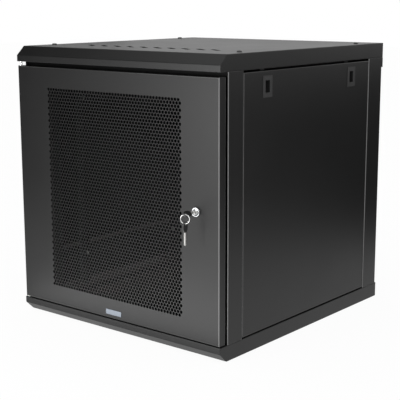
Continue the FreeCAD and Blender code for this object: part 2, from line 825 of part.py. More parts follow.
def rack_rail(name, side, face, facing):
    """An angle with three square holes for each rack unit. facing is 1 where its side runs to the rear."""
    body = new_body(name)
    outer = rail_outer()
    inner = size.rack_opening / 2
    gauge = size.rail_gauge
    points = (
        (inner, face),
        (outer, face),
        (outer, face + facing * size.rail_web),
        (outer - gauge, face + facing * size.rail_web),
        (outer - gauge, face + facing * gauge),
        (inner, face + facing * gauge),
    )
    units = size.rack_units * size.unit_height
    first = (base_top + cap_bottom - units) / 2
    low = first - size.rail_margin
    mirrored = [(side * a, b) for a, b in points]
    extrude(body, "XY", low, first + units + size.rail_margin, outline(*mirrored))
    middle = size.rack_spacing / 2
    half = size.rail_hole / 2

    def draw(sketch):
        for step in range(3):
            height = first + size.unit_first + size.unit_step * step
            corners = ((-half, -half), (half, -half), (half, half), (-half, half))
            add_outline(sketch, [(side * middle + a, height + b) for a, b in corners])

    low_y, high_y = sorted((face, face + facing * gauge), key=amount)
    holes = extrude(body, "XZ", low_y, high_y, draw, True)
    repeat(body, holes, "Z", size.unit_height, size.rack_units)
    bolts = [(face + facing * size.rail_bolt_setback, low + size.brace_rise / 2) for _, low in brace_levels()]
    low_x, high_x = sorted((side * (outer - gauge), side * outer), key=amount)
    extrude(body, "YZ", low_x, high_x, facets(bolts, size.rail_bolt_radius), True)
    finish(name, body)


def rail_bolts(name, side, face, facing):
    """The two bolts that clamp a rail to its braces, each with its nut run home."""
    bolts = []
    y = face + facing * size.rail_bolt_setback
    rail = rail_outer() - size.rail_gauge
    nut_face = rail_outer() + skin + 2 * size.moving_gap
    grip = nut_face + size.nut_length + size.bolt_end - rail

    def bar(near, height, flats, length, sides):
        x = near if side > 0 else -(near + length)
        return prism("X", x, y, height, flats, length, sides)

    for _, low in brace_levels():
        height = low + size.brace_rise / 2
        head_face = rail - size.bolt_head_length
        head = bar(head_face, height, size.bolt_head_flats, size.bolt_head_length, 6)
        shank = bar(rail, height, 2 * size.rail_bolt_radius, grip, 12)
        nut = bar(nut_face, height, size.nut_flats, size.nut_length, 6)
        bolts.append(fuse(head, shank, nut))
    group(name, bolts)


def rack():
    for word, side in SIDES:
        for level, low in brace_levels():
            depth_brace(f"depth_brace_{level}_{word}", side, low)
        for place, setback, facing in (("front", size.rail_front, 1), ("rear", size.rail_rear, -1)):
            rack_rail(f"rack_rail_{place}_{word}", side, front + setback, facing)
            rail_bolts(f"rail_bolts_{place}_{word}", side, front + setback, facing)


# ---------------------------------------------------------------- the door


def door_skin():
    """The door pan: one sheet with a staggered field of punched hexagons and folded edges."""
    body = new_body("door_skin")
    edges = rectangle(door_left, door_right, door_bottom, door_top)
    extrude(body, "XZ", front, door_back, edges)
    lip = size.door_return
    opening = rectangle(door_left + lip, door_right - lip, door_bottom + lip, door_top - lip)
    inner = rectangle(door_left + skin, door_right - skin, door_bottom + skin, door_top - skin)
    extrude(body, "XZ", door_back - skin, door_back, opening, True)
    extrude(body, "XZ", front + skin, door_back - skin, inner, True)
    corners = [
        {0: door_left, 1: front},
        {0: door_right, 1: front},
    ]
    round_edges(body, size.door_bend, along(2, *corners))
    punched_field(body)
    lock = [(size.lock_offset, size.lock_height)]
    extrude(body, "XZ", front, front + skin, facets(lock, size.barrel_radius), True)
    hinge_hole(body, door_top - skin, door_top, facets, size.pin_radius)
    bore = size.pin_radius + size.running_gap
    hinge_hole(body, door_bottom, door_bottom + skin, circles, bore)
    finish("door_skin", body)


def punched_field(body):
    """Two hexagons, half a pitch apart in neighbouring rows, repeated across and up the field."""
    pitch = (size.field_width + size.punch_web) / (size.punch_columns + 0.5)
    half = (pitch - size.punch_web) / 2
    side = half * (2 / math.sqrt(3))
    rise = (size.field_height - 2 * side) / (2 * size.punch_pairs - 1)
    left = half - size.field_width / 2
    low = size.field_centre - size.field_height / 2 + side

    def draw(sketch):
        for x, height in ((left, low), (left + pitch / 2, low + rise)):
            add_outline(
                sketch,
                (
                    (x, height - side),
                    (x + half, height - side / 2),
                    (x + half, height + side / 2),
                    (x, height + side),
                    (x - half, height + side / 2),
                    (x - half, height - side / 2),
                ),
            )

    first = extrude(body, "XZ", front, front + skin, draw, True)
    across = new_pattern(body, "X", pitch, size.punch_columns)
    upward = new_pattern(body, "Z", 2 * rise, size.punch_pairs)
    field = body.newObject("PartDesign::MultiTransform", "field")
    field.Originals = [first]
    field.Transformations = [across, upward]
    body.Tip = field


def door_stiffener(name, start, end):
    """A hat section from the door's bottom edge to its top edge, welded behind the skin."""
    body = new_body(name)
    back = front + skin + size.stiffener_depth
    foot = front + skin
    points = (
        (start, foot),
        (start, back),
        (end, back),
        (end, foot),
        (end - skin, foot),
        (end - skin, back - skin),
        (start + skin, back - skin),
        (start + skin, foot),
    )
    extrude(body, "XY", door_bottom + skin, door_top - skin, outline(*points))
    finish(name, body)


def hinges():
    """The upper pin turns in the top pan. The lower pin stands in the base pan and in the door."""
    low = door_top - size.pin_tail
    top = cap_bottom + skin + size.bush_length
    finish("hinge_pin_upper", cylinder("Z", hinge_x, hinge_y, low, size.pin_radius, top - low))
    hinge_washer("hinge_washer_upper", cap_bottom + skin, size.bush_length)
    rest = base_top + size.moving_gap
    hinge_washer("hinge_washer_lower", rest, door_bottom - rest)
    foot = base_top - skin - size.bush_length
    length = door_bottom + skin + size.pin_rise - foot
    finish("hinge_pin_lower", cylinder("Z", hinge_x, hinge_y, foot, size.pin_radius, length))
    hinge_pin_bracket(low + size.pin_tail / 3)


def hinge_washer(name, low, length):
    body = new_body(name)
    extrude(body, "XY", low, low + length, facets([(hinge_x, hinge_y)], size.bush_radius))
    hinge_hole(body, low, low + length, circles, size.pin_radius + size.running_gap)
    finish(name, body)


def hinge_pin_bracket(low):
    """An angle welded behind the door's skin, with a hole that holds the upper pin's tail straight."""
    body = new_body("hinge_pin_bracket")
    left = door_left + skin
    foot = front + skin
    shape = outline(
        (foot, low + skin),
        (foot, low - size.pin_bracket),
        (foot + skin, low - size.pin_bracket),
        (foot + skin, low),
        (foot + size.pin_bracket, low),
        (foot + size.pin_bracket, low + skin),
    )
    extrude(body, "YZ", left, left + size.pin_bracket, shape)
    hinge_hole(body, low, low + skin, facets, size.pin_radius)
    finish("hinge_pin_bracket", body)


def badge_plate():
    body = new_body("badge_plate")
    left = size.badge_offset - size.badge_width / 2
    low = size.badge_centre - size.badge_height / 2
    shape = rectangle(left, left + size.badge_width, low, low + size.badge_height)
    extrude(body, "XZ", front - size.badge_gauge, front, shape)
    finish("badge_plate", body)


def door_bumpers():
    x = door_right - size.door_return / 2
    length = size.post_setback - size.door_depth - size.moving_gap
    heights = (door_bottom + size.bumper_inset, door_top - size.bumper_inset)
    width = 2 * size.bumper_radius
    group("door_bumpers", [prism("Y", x, door_back, h, width, length, 12) for h in heights])


# ---------------------------------------------------------------- the lock and its keys


def at_lock(body, turn=None):
    return put(body, size.lock_offset, front, size.lock_height, turn)


def revolve(body, points):
    """A solid of revolution about the body's own Y axis, from half of its section."""
    sketch = new_sketch(body, "XY", 0)
    add_outline(sketch, points)
    turned = body.newObject("PartDesign::Revolution", "turned")
    turned.Profile = sketch
    turned.ReferenceAxis = (sketch, ["V_Axis"])
    turned.Angle = 360
    return turned


def lock_body():
    """A turned front ring on a barrel of twelve flats, with a bore for the plug."""
    ring = new_body("lock_ring")
    rim = size.lock_flange
    bevel = size.lock_bevel
    face = -size.lock_proud
    revolve(ring, ((0, face), (rim - bevel, face), (rim, face + bevel), (rim, 0), (0, 0)))
    at_lock(ring)
    x = size.lock_offset
    height = size.lock_height
    barrel = prism("Y", x, front, height, 2 * size.barrel_radius, size.barrel_length, 12)
    bore = size.plug_radius + size.running_gap
    length = size.barrel_length + size.lock_proud
    hole = cylinder("Y", x, front - size.lock_proud, height, bore, length)
    finish("lock_body", cut(fuse(ring, barrel), hole))


def lock_nut():
    place = (size.lock_offset, front + skin, size.lock_height)
    nut = prism("Y", *place, size.lock_nut_flats, size.lock_nut_length)
    bore = prism("Y", *place, 2 * size.barrel_radius, size.lock_nut_length, 12)
    finish("lock_nut", cut(nut, bore))


def cam_start():
    return size.barrel_length + size.moving_gap


def lock_plug():
    """The turning core, with its keyway in front and a square drive behind."""
    body = new_body("lock_plug")
    face = size.plug_recess - size.lock_proud
    extrude(body, "XZ", face, cam_start(), circles([(0, 0)], size.plug_radius))
    half = size.drive_side / 2
    drive_end = cam_start() + size.cam_gauge
    extrude(body, "XZ", cam_start(), drive_end, rectangle(-half, half, -half, half))
    screw = facets([(0, 0)], size.cam_screw_radius)
    extrude(body, "XZ", drive_end - size.cam_screw_grip, drive_end, screw, True)
    half_width_of_key = size.key_width / 2 + size.key_slack
    half_gauge = size.key_gauge / 2 + size.key_slack
    depth = size.key_length - size.key_exposed + 1
    keyway = rectangle(-half_width_of_key, half_width_of_key, -half_gauge, half_gauge)
    extrude(body, "XZ", face, face + depth, keyway, True, turn=-size.key_tilt)
    at_lock(body)
    finish("lock_plug", body)


def lock_cam():
    """A straight cam on the plug's square, which turns behind the front post's flange."""
    body = new_body("lock_cam")
    start = cam_start()
    half = size.cam_width / 2
    shape = outline(
        (-half, half),
        (-half, half - size.cam_reach),
        (half / 2 - half, -size.cam_reach),
        (half - half / 2, -size.cam_reach),
        (half, half - size.cam_reach),
        (half, half),
    )
    extrude(body, "XZ", start, start + size.cam_gauge, shape)
    square = size.drive_side / 2
    extrude(body, "XZ", start, start + size.cam_gauge, rectangle(-square, square, -square, square), True)
    at_lock(body)
    finish("lock_cam", body)


def cam_screw():
    start = front + cam_start() + size.cam_gauge
    x = size.lock_offset
    height = size.lock_height
    head = prism("Y", x, start, height, size.cam_screw_flats, size.cam_gauge)
    grip = size.cam_screw_grip
    shank = prism("Y", x, start - grip, height, 2 * size.cam_screw_radius, grip, 12)
    finish("cam_screw", fuse(head, shank))


def key_blade(name):
    """A flat key along Y, its tip towards +Y and the end of its grip at zero, with cuts along one edge."""
    body = new_body(name)
    half = size.key_width / 2
    gauge = size.key_gauge / 2
    grip = size.grip_length
    tip = grip + size.key_length
    bite = size.key_width / 4
    stretch = (size.key_length - size.key_exposed) / 8
    points = [
        (-half, grip - size.grip_hole_inset),
        (half, grip - size.grip_hole_inset),
        (half, tip - 7 * stretch),
    ]
    for cut_at in (6, 3):
        points += [
            (half - bite, tip - cut_at * stretch),
            (half - bite, tip - (cut_at - 1) * stretch),
            (half, tip - (cut_at - 2) * stretch),
        ]
    points += [(0, tip), (-half, tip - stretch)]
    extrude(body, "XY", -gauge, gauge, outline(*points))
    return body


def key_grip(name):
    """The moulded grip: an eight-sided plate with a hole for the ring and a pocket for the blade."""
    body = new_body(name)
    half = size.grip_width / 2
    gauge = size.grip_gauge / 2
    corner = size.grip_width / 4
    length = size.grip_length
    points = (
        (corner - half, 0),
        (half - corner, 0),
        (half, corner),
        (half, length - corner),
        (half - corner, length),
        (corner - half, length),
        (-half, length - corner),
        (-half, corner),
    )
    extrude(body, "XY", -gauge, gauge, outline(*points))
    hole = facets([(0, size.grip_hole_inset)], size.grip_hole)
    extrude(body, "XY", -gauge, gauge, hole, True)
    blade = size.key_width / 2
    plate = size.key_gauge / 2
    socket = rectangle(-blade, blade, -plate, plate)
    extrude(body, "XZ", length - size.grip_hole_inset, length, socket, True)
    return body


def keys():
    """One key stands in the lock. The other hangs below it from the ring."""
    reach = size.grip_length + size.key_exposed + size.lock_proud - size.plug_recess
    turn = (Vector(0, 1, 0), size.key_tilt)
    x = size.lock_offset
    height = size.lock_height
    for name, make in (("key_blade", key_blade), ("key_grip", key_grip)):
        finish(name, put(make(name), x, front - reach, height, turn))
    hole_y = front - reach + size.grip_hole_inset
    ring = new_body("key_ring")
    half = size.ring_wire / 2
    near = size.ring_radius - half
    far = size.ring_radius + half
    revolve(ring, ((near, -half), (far, -half), (far, half), (near, half)))
    finish("key_ring", put(ring, x, hole_y, height - size.ring_radius, (Vector(0, 0, 1), size.ring_turn)))
    # the spare key's length runs down and its width runs from front to back
    hanging = Rotation(Vector(0, 1, 0), Vector(0, 0, -1), Vector(-1, 0, 0))
    top = height - 2 * size.ring_radius + size.grip_hole_inset
    for name, make in (("spare_key_blade", key_blade), ("spare_key_grip", key_grip)):
        finish(name, put(make(name), x, hole_y, top, hanging))


# ---------------------------------------------------------------- side panels and their latches


def side_panel(name, side):
    """A folded tray with two bottom hooks and two latch cut-outs."""
    body = new_body(name)
    inner = panel_face - size.panel_return

    def span(a, b):
        return sorted((side * a, side * b), key=amount)

    extrude(body, "YZ", *span(inner, panel_face), rectangle(panel_front, panel_back, panel_bottom, panel_top))
    tray = rectangle(panel_front + skin, panel_back - skin, panel_bottom + skin, panel_top - skin)
    extrude(body, "YZ", *span(inner, panel_face - skin), tray, True)
    cut_y = size.bezel_width / 2 - size.bezel_lap
    cut_z = size.bezel_height / 2 - size.bezel_lap
    hook_outer = panel_face - size.hook_reach
    hook_inner = hook_outer - skin
    shoulder = size.hook_width / 2 + size.hook_shoulder
    neck = size.hook_width / 2
    rest = base_top + size.moving_gap
    for middle in hook_places:
        hole = rectangle(middle - cut_y, middle + cut_y, size.latch_height - cut_z, size.latch_height + cut_z)
        extrude(body, "YZ", *span(panel_face - skin, panel_face), hole, True)
        shelf = rectangle(middle - shoulder, middle + shoulder, panel_bottom, panel_bottom + skin)
        extrude(body, "YZ", *span(hook_inner, inner), shelf)
        tab = outline(
            (middle - shoulder, panel_bottom),
            (middle - shoulder, rest),
            (middle - neck, rest),
            (middle - neck, panel_bottom - size.hook_drop),
            (middle + neck, panel_bottom - size.hook_drop),
            (middle + neck, rest),
            (middle + shoulder, rest),
            (middle + shoulder, panel_bottom),
        )
        extrude(body, "YZ", *span(hook_inner, hook_outer), tab)
    edge = side * panel_face
    corners = [{0: edge, 1: panel_front}, {0: edge, 1: panel_back}]
    round_edges(body, size.post_bend - skin / 2, along(2, *corners))
    finish(name, body)


def latch_bezel(name, side, middle):
    """The latch's plastic housing: a thin face over the cut-out and a box open at the back."""
    body = new_body(name)
    face = half_width
    back = face - size.bezel_depth

    def span(a, b):
        return sorted((side * a, side * b), key=amount)

    def box(half_y, half_z):
        centre = size.latch_height
        return rectangle(middle - half_y, middle + half_y, centre - half_z, centre + half_z)

    extrude(body, "YZ", *span(panel_face, face), box(size.bezel_width / 2, size.bezel_height / 2))
    outer_y = size.bezel_width / 2 - size.bezel_lap
    outer_z = size.bezel_height / 2 - size.bezel_lap
    extrude(body, "YZ", *span(back, panel_face), box(outer_y, outer_z))
    wall = size.bezel_wall
    extrude(body, "YZ", *span(back, panel_face - skin), box(outer_y - wall, outer_z - wall), True)
    window = box(size.recess_width / 2, size.recess_height / 2)
    extrude(body, "YZ", *span(panel_face - skin, face), window, True)
    finish(name, body)


def latch_slider(name, side, middle):
    """The sliding bolt, shown released: a plate in the housing, a tongue and a rib for the finger."""
    body = new_body(name)
    inner = tongue_inner

    def span(a, b):
        return sorted((side * a, side * b), key=amount)

    low = size.latch_height - size.bezel_height / 2 + size.bezel_lap + size.bezel_wall + size.moving_gap
    half_y = size.bezel_width / 2 - size.bezel_lap - size.bezel_wall - size.moving_gap
    high = low + size.slider_height
    plate = rectangle(middle - half_y, middle + half_y, low, high)
    face = inner + size.slider_gauge
    extrude(body, "YZ", *span(inner, face), plate)
    half = size.tongue_width / 2
    tongue = rectangle(middle - half, middle + half, low + 5, cap_bottom - size.tongue_clear)
    extrude(body, "YZ", *span(inner - size.tongue_gauge, inner), tongue)
    rib_low = size.latch_height - size.recess_height / 2 + 2
    rib = rectangle(middle - half, middle + half, rib_low, rib_low + size.finger_rib)
    extrude(body, "YZ", *span(face, face + size.rib_reach), rib)
    finish(name, body)


def sides():
    for word, side in SIDES:
        side_panel(f"side_panel_{word}", side)
        for place, middle in zip(("front", "rear"), hook_places):
            latch_bezel(f"latch_bezel_{place}_{word}", side, middle)
            latch_slider(f"latch_slider_{place}_{word}", side, middle)


# ---------------------------------------------------------------- the whole cabinet


def check_document():
    """Stops on any object that failed, any pocket that cut nothing and any sub-part that isn't sound."""
    for thing in doc.Objects:
        if {"Invalid", "Error"} & set(thing.State):
            raise RuntimeError(f"{thing.Name} ({thing.Label}) is {thing.State}")
        if thing.TypeId == "PartDesign::Pocket":
            if thing.Shape.Volume >= thing.BaseFeature.Shape.Volume - 1e-6:
                raise RuntimeError(f"{thing.Name} cuts nothing")
    for name, thing in parts.items():
        shape = thing.Shape
        if shape.isNull() or not shape.isValid() or not shape.Solids:
            raise RuntimeError(f"{name} has no sound shape")


def main():
    top_cap()
    base_cap()
    posts()
    crossbar("front_header", cap_bottom, cap_bottom - size.header_drop)
    crossbar("front_sill", base_top, base_top + size.sill_rise)
    rear_panel()
    wall_bars()
    cable_port_trim()
    hatch_cover()
    hatch_nuts()
    cap_brackets()
    cap_screws()
    rack()
    door_skin()
    field_edge = size.field_width / 2 + size.stiffener_gap
    door_stiffener("door_stiffener_left", -field_edge - size.stiffener_width, -field_edge)
    door_stiffener("door_stiffener_right", field_edge, field_edge + size.stiffener_width)
    hinges()
    badge_plate()
    door_bumpers()
    lock_body()
    lock_nut()
    lock_plug()
    lock_cam()
    cam_screw()
    keys()
    sides()
    doc.recompute()
    check_document()
    os.makedirs("parts", exist_ok=True)
    for name, thing in parts.items():
        thing.Shape.exportStep(os.path.join("parts", f"{name}.step"))
    print(f"{len(parts)} sub-parts written")


main()
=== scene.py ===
"""The looks of the wall mount network cabinet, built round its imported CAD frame.

Lengths of the new pieces are in metres. Each piece is a set of surfaces worked out as whole arrays:
a profile carried round a loop, a grid of two parameters, or a flat sheet cut by its outlines.
"""

import json
import math

import bpy
import numpy as np
from mathutils import Matrix, Vector
from mathutils.geometry import delaunay_2d_cdt


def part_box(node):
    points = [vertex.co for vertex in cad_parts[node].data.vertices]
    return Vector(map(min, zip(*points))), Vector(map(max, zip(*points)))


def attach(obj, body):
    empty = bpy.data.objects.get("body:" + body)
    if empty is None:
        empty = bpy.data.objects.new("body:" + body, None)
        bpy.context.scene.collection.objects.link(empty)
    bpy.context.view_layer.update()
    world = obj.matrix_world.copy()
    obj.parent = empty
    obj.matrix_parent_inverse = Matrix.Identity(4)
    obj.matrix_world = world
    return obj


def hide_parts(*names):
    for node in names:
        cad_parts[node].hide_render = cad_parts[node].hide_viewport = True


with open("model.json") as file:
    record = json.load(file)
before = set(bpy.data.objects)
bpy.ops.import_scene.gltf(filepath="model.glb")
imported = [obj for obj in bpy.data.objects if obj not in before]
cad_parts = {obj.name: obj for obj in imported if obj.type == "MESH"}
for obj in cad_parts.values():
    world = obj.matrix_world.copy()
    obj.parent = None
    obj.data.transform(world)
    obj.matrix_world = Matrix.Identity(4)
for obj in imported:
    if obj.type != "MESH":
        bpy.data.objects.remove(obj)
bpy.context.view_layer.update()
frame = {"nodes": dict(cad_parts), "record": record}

MM = 0.001
SHEET = 1.5 * MM
FLAT = 0.25 * MM
TURN = 2 * math.pi
KEY_TILT = math.radians(55)

case_low, case_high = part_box("base_cap")[0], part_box("top_cap")[1]
left, front, floor_level = case_low
right, rear, top = case_high


# ---------------------------------------------------------------- meshes from arrays


def linked(name, data):
    """A new object that carries the data, in the scene."""
    made = bpy.data.objects.new(name, data)
    bpy.context.scene.collection.objects.link(made)
    return made


def piece(name, points, faces, body, slot, replaced=(), crease=35):
    """A mesh object from points and faces, smooth except at folds past crease degrees."""
    mesh = bpy.data.meshes.new(name)
    mesh.from_pydata(np.asarray(points, float).tolist(), [], faces)
    mesh.polygons.foreach_set("use_smooth", [True] * len(mesh.polygons))
    mesh.set_sharp_from_angle(angle=math.radians(crease))
    mesh.update()
    made = linked(name, mesh)
    made.data.materials.append(FINISHES[slot])
    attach(made, body)
    if replaced:
        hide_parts(*replaced)
    return made


def joined(*parts):
    """Several (points, faces) pairs as one."""
    points, faces, start = [], [], 0
    for some_points, some_faces in parts:
        points.append(np.asarray(some_points, float))
        faces += [tuple(start + i for i in face) for face in some_faces]
        start += len(some_points)
    return np.concatenate(points), faces


def grid_faces(rows, columns, closed=False):
    """The quads between neighbouring points of a rows by columns grid, whose rows may be closed loops."""
    r, c = np.meshgrid(np.arange(rows - 1), np.arange(columns if closed else columns - 1), indexing="ij")
    r, c = r.ravel(), c.ravel()
    r2, c2 = r + 1, (c + 1) % columns
    return np.stack([r * columns + c, r * columns + c2, r2 * columns + c2, r2 * columns + c], 1)


def as_faces(array):
    return [tuple(face) for face in np.asarray(array).tolist()]


def distinct(points):
    """Which points come first of their kind, to a tenth of a micron, and each point's place among those."""
    key = np.round(points * 1e7).astype(np.int64)
    _, first, place = np.unique(key, axis=0, return_index=True, return_inverse=True)
    return first, place.ravel()


def renumbered(faces, place):
    return [tuple(place[list(face)].tolist()) for face in faces]


def turned(profile, sides, centre, ends=False):
    """A profile of (radius, depth) carried round an axis along Y, with or without a flat face on each end."""
    profile = np.asarray(profile, float)
    angle = np.arange(sides) / sides * TURN
    radius, depth = profile[:, :1], profile[:, 1:]
    across, up = radius * np.cos(angle), radius * np.sin(angle)
    points = np.stack([across, np.broadcast_to(depth, across.shape), -up], 2)
    faces = as_faces(grid_faces(len(profile), sides, True))
    last = len(profile) * sides
    if ends:
        faces += [tuple(range(sides - 1, -1, -1)), tuple(range(last - sides, last))]
    return points.reshape(-1, 3) + np.asarray(centre, float), faces


def open_edges(faces):
    """The directed edges that only one face has, as an array of pairs."""
    sizes = np.array([len(face) for face in faces])
    flat = np.concatenate([np.asarray(face) for face in faces])
    starts = np.repeat(np.cumsum(sizes) - sizes, sizes)
    place = np.arange(len(flat)) - starts
    following = flat[starts + (place + 1) % np.repeat(sizes, sizes)]
    both = np.stack([flat, following], 1)
    key = np.sort(both, 1) @ np.array([flat.max() + 1, 1])
    _, where, count = np.unique(key, return_index=True, return_counts=True)
    return both[where[count == 1]]


def thickened(outer, inner, faces):
    """A closed wall: the outer faces, the inner ones turned over, and a strip along each open edge."""
    count = len(outer)
    edges = open_edges(faces)
    rim = np.stack([edges[:, 1], edges[:, 0], edges[:, 0] + count, edges[:, 1] + count], 1)
    inside = [tuple(i + count for i in reversed(face)) for face in faces]
    return np.concatenate([outer, inner]), list(faces) + inside + as_faces(rim)


def rounded_loop(half_x, half_z, radius, steps):
    """The outline of a rectangle with round corners, about zero, anticlockwise."""
    angle = (np.arange(steps + 1) / steps)[None, :] * math.pi / 2 + np.arange(4)[:, None] * math.pi / 2
    sign_x = np.array([1, -1, -1, 1])[:, None]
    sign_z = np.array([1, 1, -1, -1])[:, None]
    x = sign_x * (half_x - radius) + radius * np.cos(angle)
    z = sign_z * (half_z - radius) + radius * np.sin(angle)
    return np.stack([x.ravel(), z.ravel()], 1)


def circle(x, z, radius, sides):
    angle = np.arange(sides) / sides * TURN
    return np.stack([x + radius * np.cos(angle), z + radius * np.sin(angle)], 1)


def inside(points, loop):
    """Which points lie inside a loop: a ray to the right crosses its edges an odd number of times."""
    x, y = points[:, :1], points[:, 1:]
    a, b = loop, np.roll(loop, -1, 0)
    spans = (a[:, 1] > y) != (b[:, 1] > y)
    rise = np.where(b[:, 1] == a[:, 1], 1, b[:, 1] - a[:, 1])
    crossing = a[:, 0] + (y - a[:, 1]) * (b[:, 0] - a[:, 0]) / rise
    return (spans & (x < crossing)).sum(1) % 2 == 1


def cut_sheet(border, holes, spare=()):
    """A flat sheet inside the border with holes cut out, as triangles over 2-D points.

    spare holds further loops of points that only shape the triangles.
    """
    loops = [np.asarray(loop, float) for loop in (border, *holes)]
    points = np.concatenate([*loops, *spare])
    edges, start = [], 0
    for loop in loops:
        index = np.arange(len(loop))
        edges.append(np.stack([index, np.roll(index, -1)], 1) + start)
        start += len(loop)
    edges = np.concatenate(edges).tolist()
    found = delaunay_2d_cdt([Vector(p) for p in points.tolist()], edges, [], 1, 1e-9)
    flat = np.array([tuple(v) for v in found[0]])
    faces = np.array(found[2])
    middle = flat[faces].mean(1)
    keep = inside(middle, loops[0])
    for loop in loops[1:]:
        keep &= ~inside(middle, loop)
    return flat, faces[keep]


# ---------------------------------------------------------------- shader arithmetic


class Wire:
    """A shader socket that works in Python arithmetic: every operator adds its Math node."""

    def __init__(self, finish, socket):
        self.finish = finish
        self.socket = socket

    def math(self, operation, *others):
        values = dict(enumerate((self, *others)))
        return self.finish.node("Math", {"operation": operation}, values)

    def __add__(self, other):
        return self.math("ADD", other)

    __radd__ = __add__

    def __mul__(self, other):
        return self.math("MULTIPLY", other)

    __rmul__ = __mul__

    def __sub__(self, other):
        return self.math("SUBTRACT", other)

    def __rsub__(self, other):
        return self.finish.node("Math", {"operation": "SUBTRACT"}, {0: other, 1: self})

    def __gt__(self, other):
        return self.math("GREATER_THAN", other)


class Finish:
    """One procedural material. node() adds any node from its type, its settings and its sockets."""

    def __init__(self, name, **constants):
        self.material = bpy.data.materials.new(name)
        self.material.use_nodes = True
        self.tree = self.material.node_tree
        self.shader = self.tree.nodes["Principled BSDF"]
        for socket, value in constants.items():
            self.shader.inputs[socket.replace("_", " ")].default_value = value

    def node(self, kind, settings=None, values=None, output=0):
        made = self.tree.nodes.new("ShaderNode" + kind)
        for name, value in (settings or {}).items():
            setattr(made, name, value)
        for name, value in (values or {}).items():
            socket = made.inputs[name]
            if isinstance(value, Wire):
                self.tree.links.new(value.socket, socket)
            else:
                socket.default_value = value
        return Wire(self, made.outputs[output])

    def feed(self, **sockets):
        for name, wire in sockets.items():
            self.tree.links.new(wire.socket, self.shader.inputs[name.replace("_", " ")])

    def place(self, stretch=(1, 1, 1)):
        """Object coordinates, scaled along each axis."""
        here = self.node("TexCoord", output="Object")
        return self.node("Mapping", None, {"Vector": here, "Scale": stretch})

    def noise(self, scale, detail=2.0, rough=0.5, stretch=(1, 1, 1)):
        values = {"Vector": self.place(stretch), "Scale": scale, "Detail": detail, "Roughness": rough}
        return self.node("TexNoise", None, values)

    def shade(self, amount, dark, light):
        """A colour between dark and light."""
        colours = {0: amount, 6: (*dark, 1), 7: (*light, 1)}
        return self.node("Mix", {"data_type": "RGBA"}, colours, output=2)

    def blend(self, amount, colour, other):
        """A colour socket that turns into another, plain colour."""
        return self.node("Mix", {"data_type": "RGBA"}, {0: amount, 6: colour, 7: (*other, 1)}, output=2)

    def parts(self, vector):
        """The three numbers of a vector."""
        first = self.node("SeparateXYZ", None, {0: vector})
        return [Wire(self, socket) for socket in first.socket.node.outputs]

    def within(self, low, high):
        """1 inside a box of the object's own space, otherwise 0."""
        here = self.parts(self.node("TexCoord", output="Object"))
        found = 1.0
        for wire, start, end in zip(here, low, high):
            found = found * (wire > start) * wire.math("LESS_THAN", end)
        return found

    def upright_fold(self):
        """1 halfway round a fold between the object's own front and side, and 0 on the flats."""
        across, deep, _ = self.parts(self.node("TexCoord", output="Normal"))
        return 2 * across.math("ABSOLUTE") * deep.math("ABSOLUTE")

    def fold(self, radius):
        """The normal softened over folds, and how far it leans away from the true one there."""
        soft = self.node("Bevel", {"samples": 6}, {"Radius": radius})
        true = self.node("NewGeometry", output="Normal")
        same = self.node("VectorMath", {"operation": "DOT_PRODUCT"}, {0: soft, 1: true}, output=1)
        return soft, 1 - same

    def bump(self, height, distance, normal=None):
        values = {"Height": height, "Strength": 1.0, "Distance": distance}
        if normal is not None:
            values["Normal"] = normal
        return self.node("Bump", None, values)


def grey(level):
    return (level, level, level)


def powder_coat(name, level, inside, fold=1.6 * MM, rough=0.42):
    """Baked powder on folded steel: orange-peel skin, and faint clouds in its gloss.

    A painted highlight makes the coat lighter on the upright folds and edges between the two pans. inside is
    the box of
    the faces that get painted shade: flat black, standing in for the darkness inside the case and behind the
    door.
    """
    # The first colour is a painted highlight for folds and edges. The other two are the colour and roughness
    # of the painted shade inside.
    painted_highlight_coat, painted_shade_coat, painted_shade_rough = grey(0.17), grey(0.007), 0.55
    finish = Finish(name, Specular_IOR_Level=0.36)
    clouds = finish.noise(7.0, 3.0, 0.55)
    speckle = finish.noise(2600.0, 1.0)
    soft, lean = finish.fold(fold)
    # Painted highlight: upright folds and edges between the two pans take the lighter colour.
    fold_highlight = (lean * 1.5).math("MAXIMUM", finish.upright_fold()).math("MINIMUM", 1.0)
    fold_highlight = fold_highlight * finish.within((-1, -1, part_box("base_cap")[1].z), (1, 1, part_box("top_cap")[0].z))
    # Painted shade: faces inside the box turn flat black and metallic, standing in for the darkness inside.
    inside_painted_shade = finish.within(*inside)
    coat = finish.shade(clouds * 0.6 + speckle * 0.4, grey(level * 0.8), grey(level * 1.2))
    coat = finish.blend(fold_highlight, coat, painted_highlight_coat)
    gloss = rough - 0.05 + clouds * 0.08 + speckle * 0.04 - fold_highlight * 0.08
    finish.feed(
        Base_Color=finish.blend(inside_painted_shade, coat, painted_shade_coat),
        Roughness=gloss + inside_painted_shade * (painted_shade_rough - gloss),
        Metallic=inside_painted_shade,
        Normal=finish.bump(finish.noise(900.0, 2.0, 0.45), 0.02 * MM, soft),
    )
    return finish.material


def moulded_plastic(name, level, rough, grain=1500.0, fold=0.6 * MM):
    """Black injection-moulded plastic with a fine spark-eroded grain, and a painted highlight that lightens
    its edges.
    """
    finish = Finish(name, Specular_IOR_Level=0.5)
    clouds = finish.noise(60.0, 2.0)
    pits = finish.node("TexVoronoi", None, {"Vector": finish.place(), "Scale": grain})
    soft, lean = finish.fold(fold)
    finish.feed(
        # lean lightens the colour along edges and folds: a painted highlight.
        Base_Color=finish.shade(clouds * 0.4 + lean * 0.8, grey(level * 0.9), grey(level * 1.7)),
        Roughness=rough + clouds * 0.08 - pits * 0.06,
        Normal=finish.bump(pits, 0.02 * MM, soft),
    )
    return finish.material


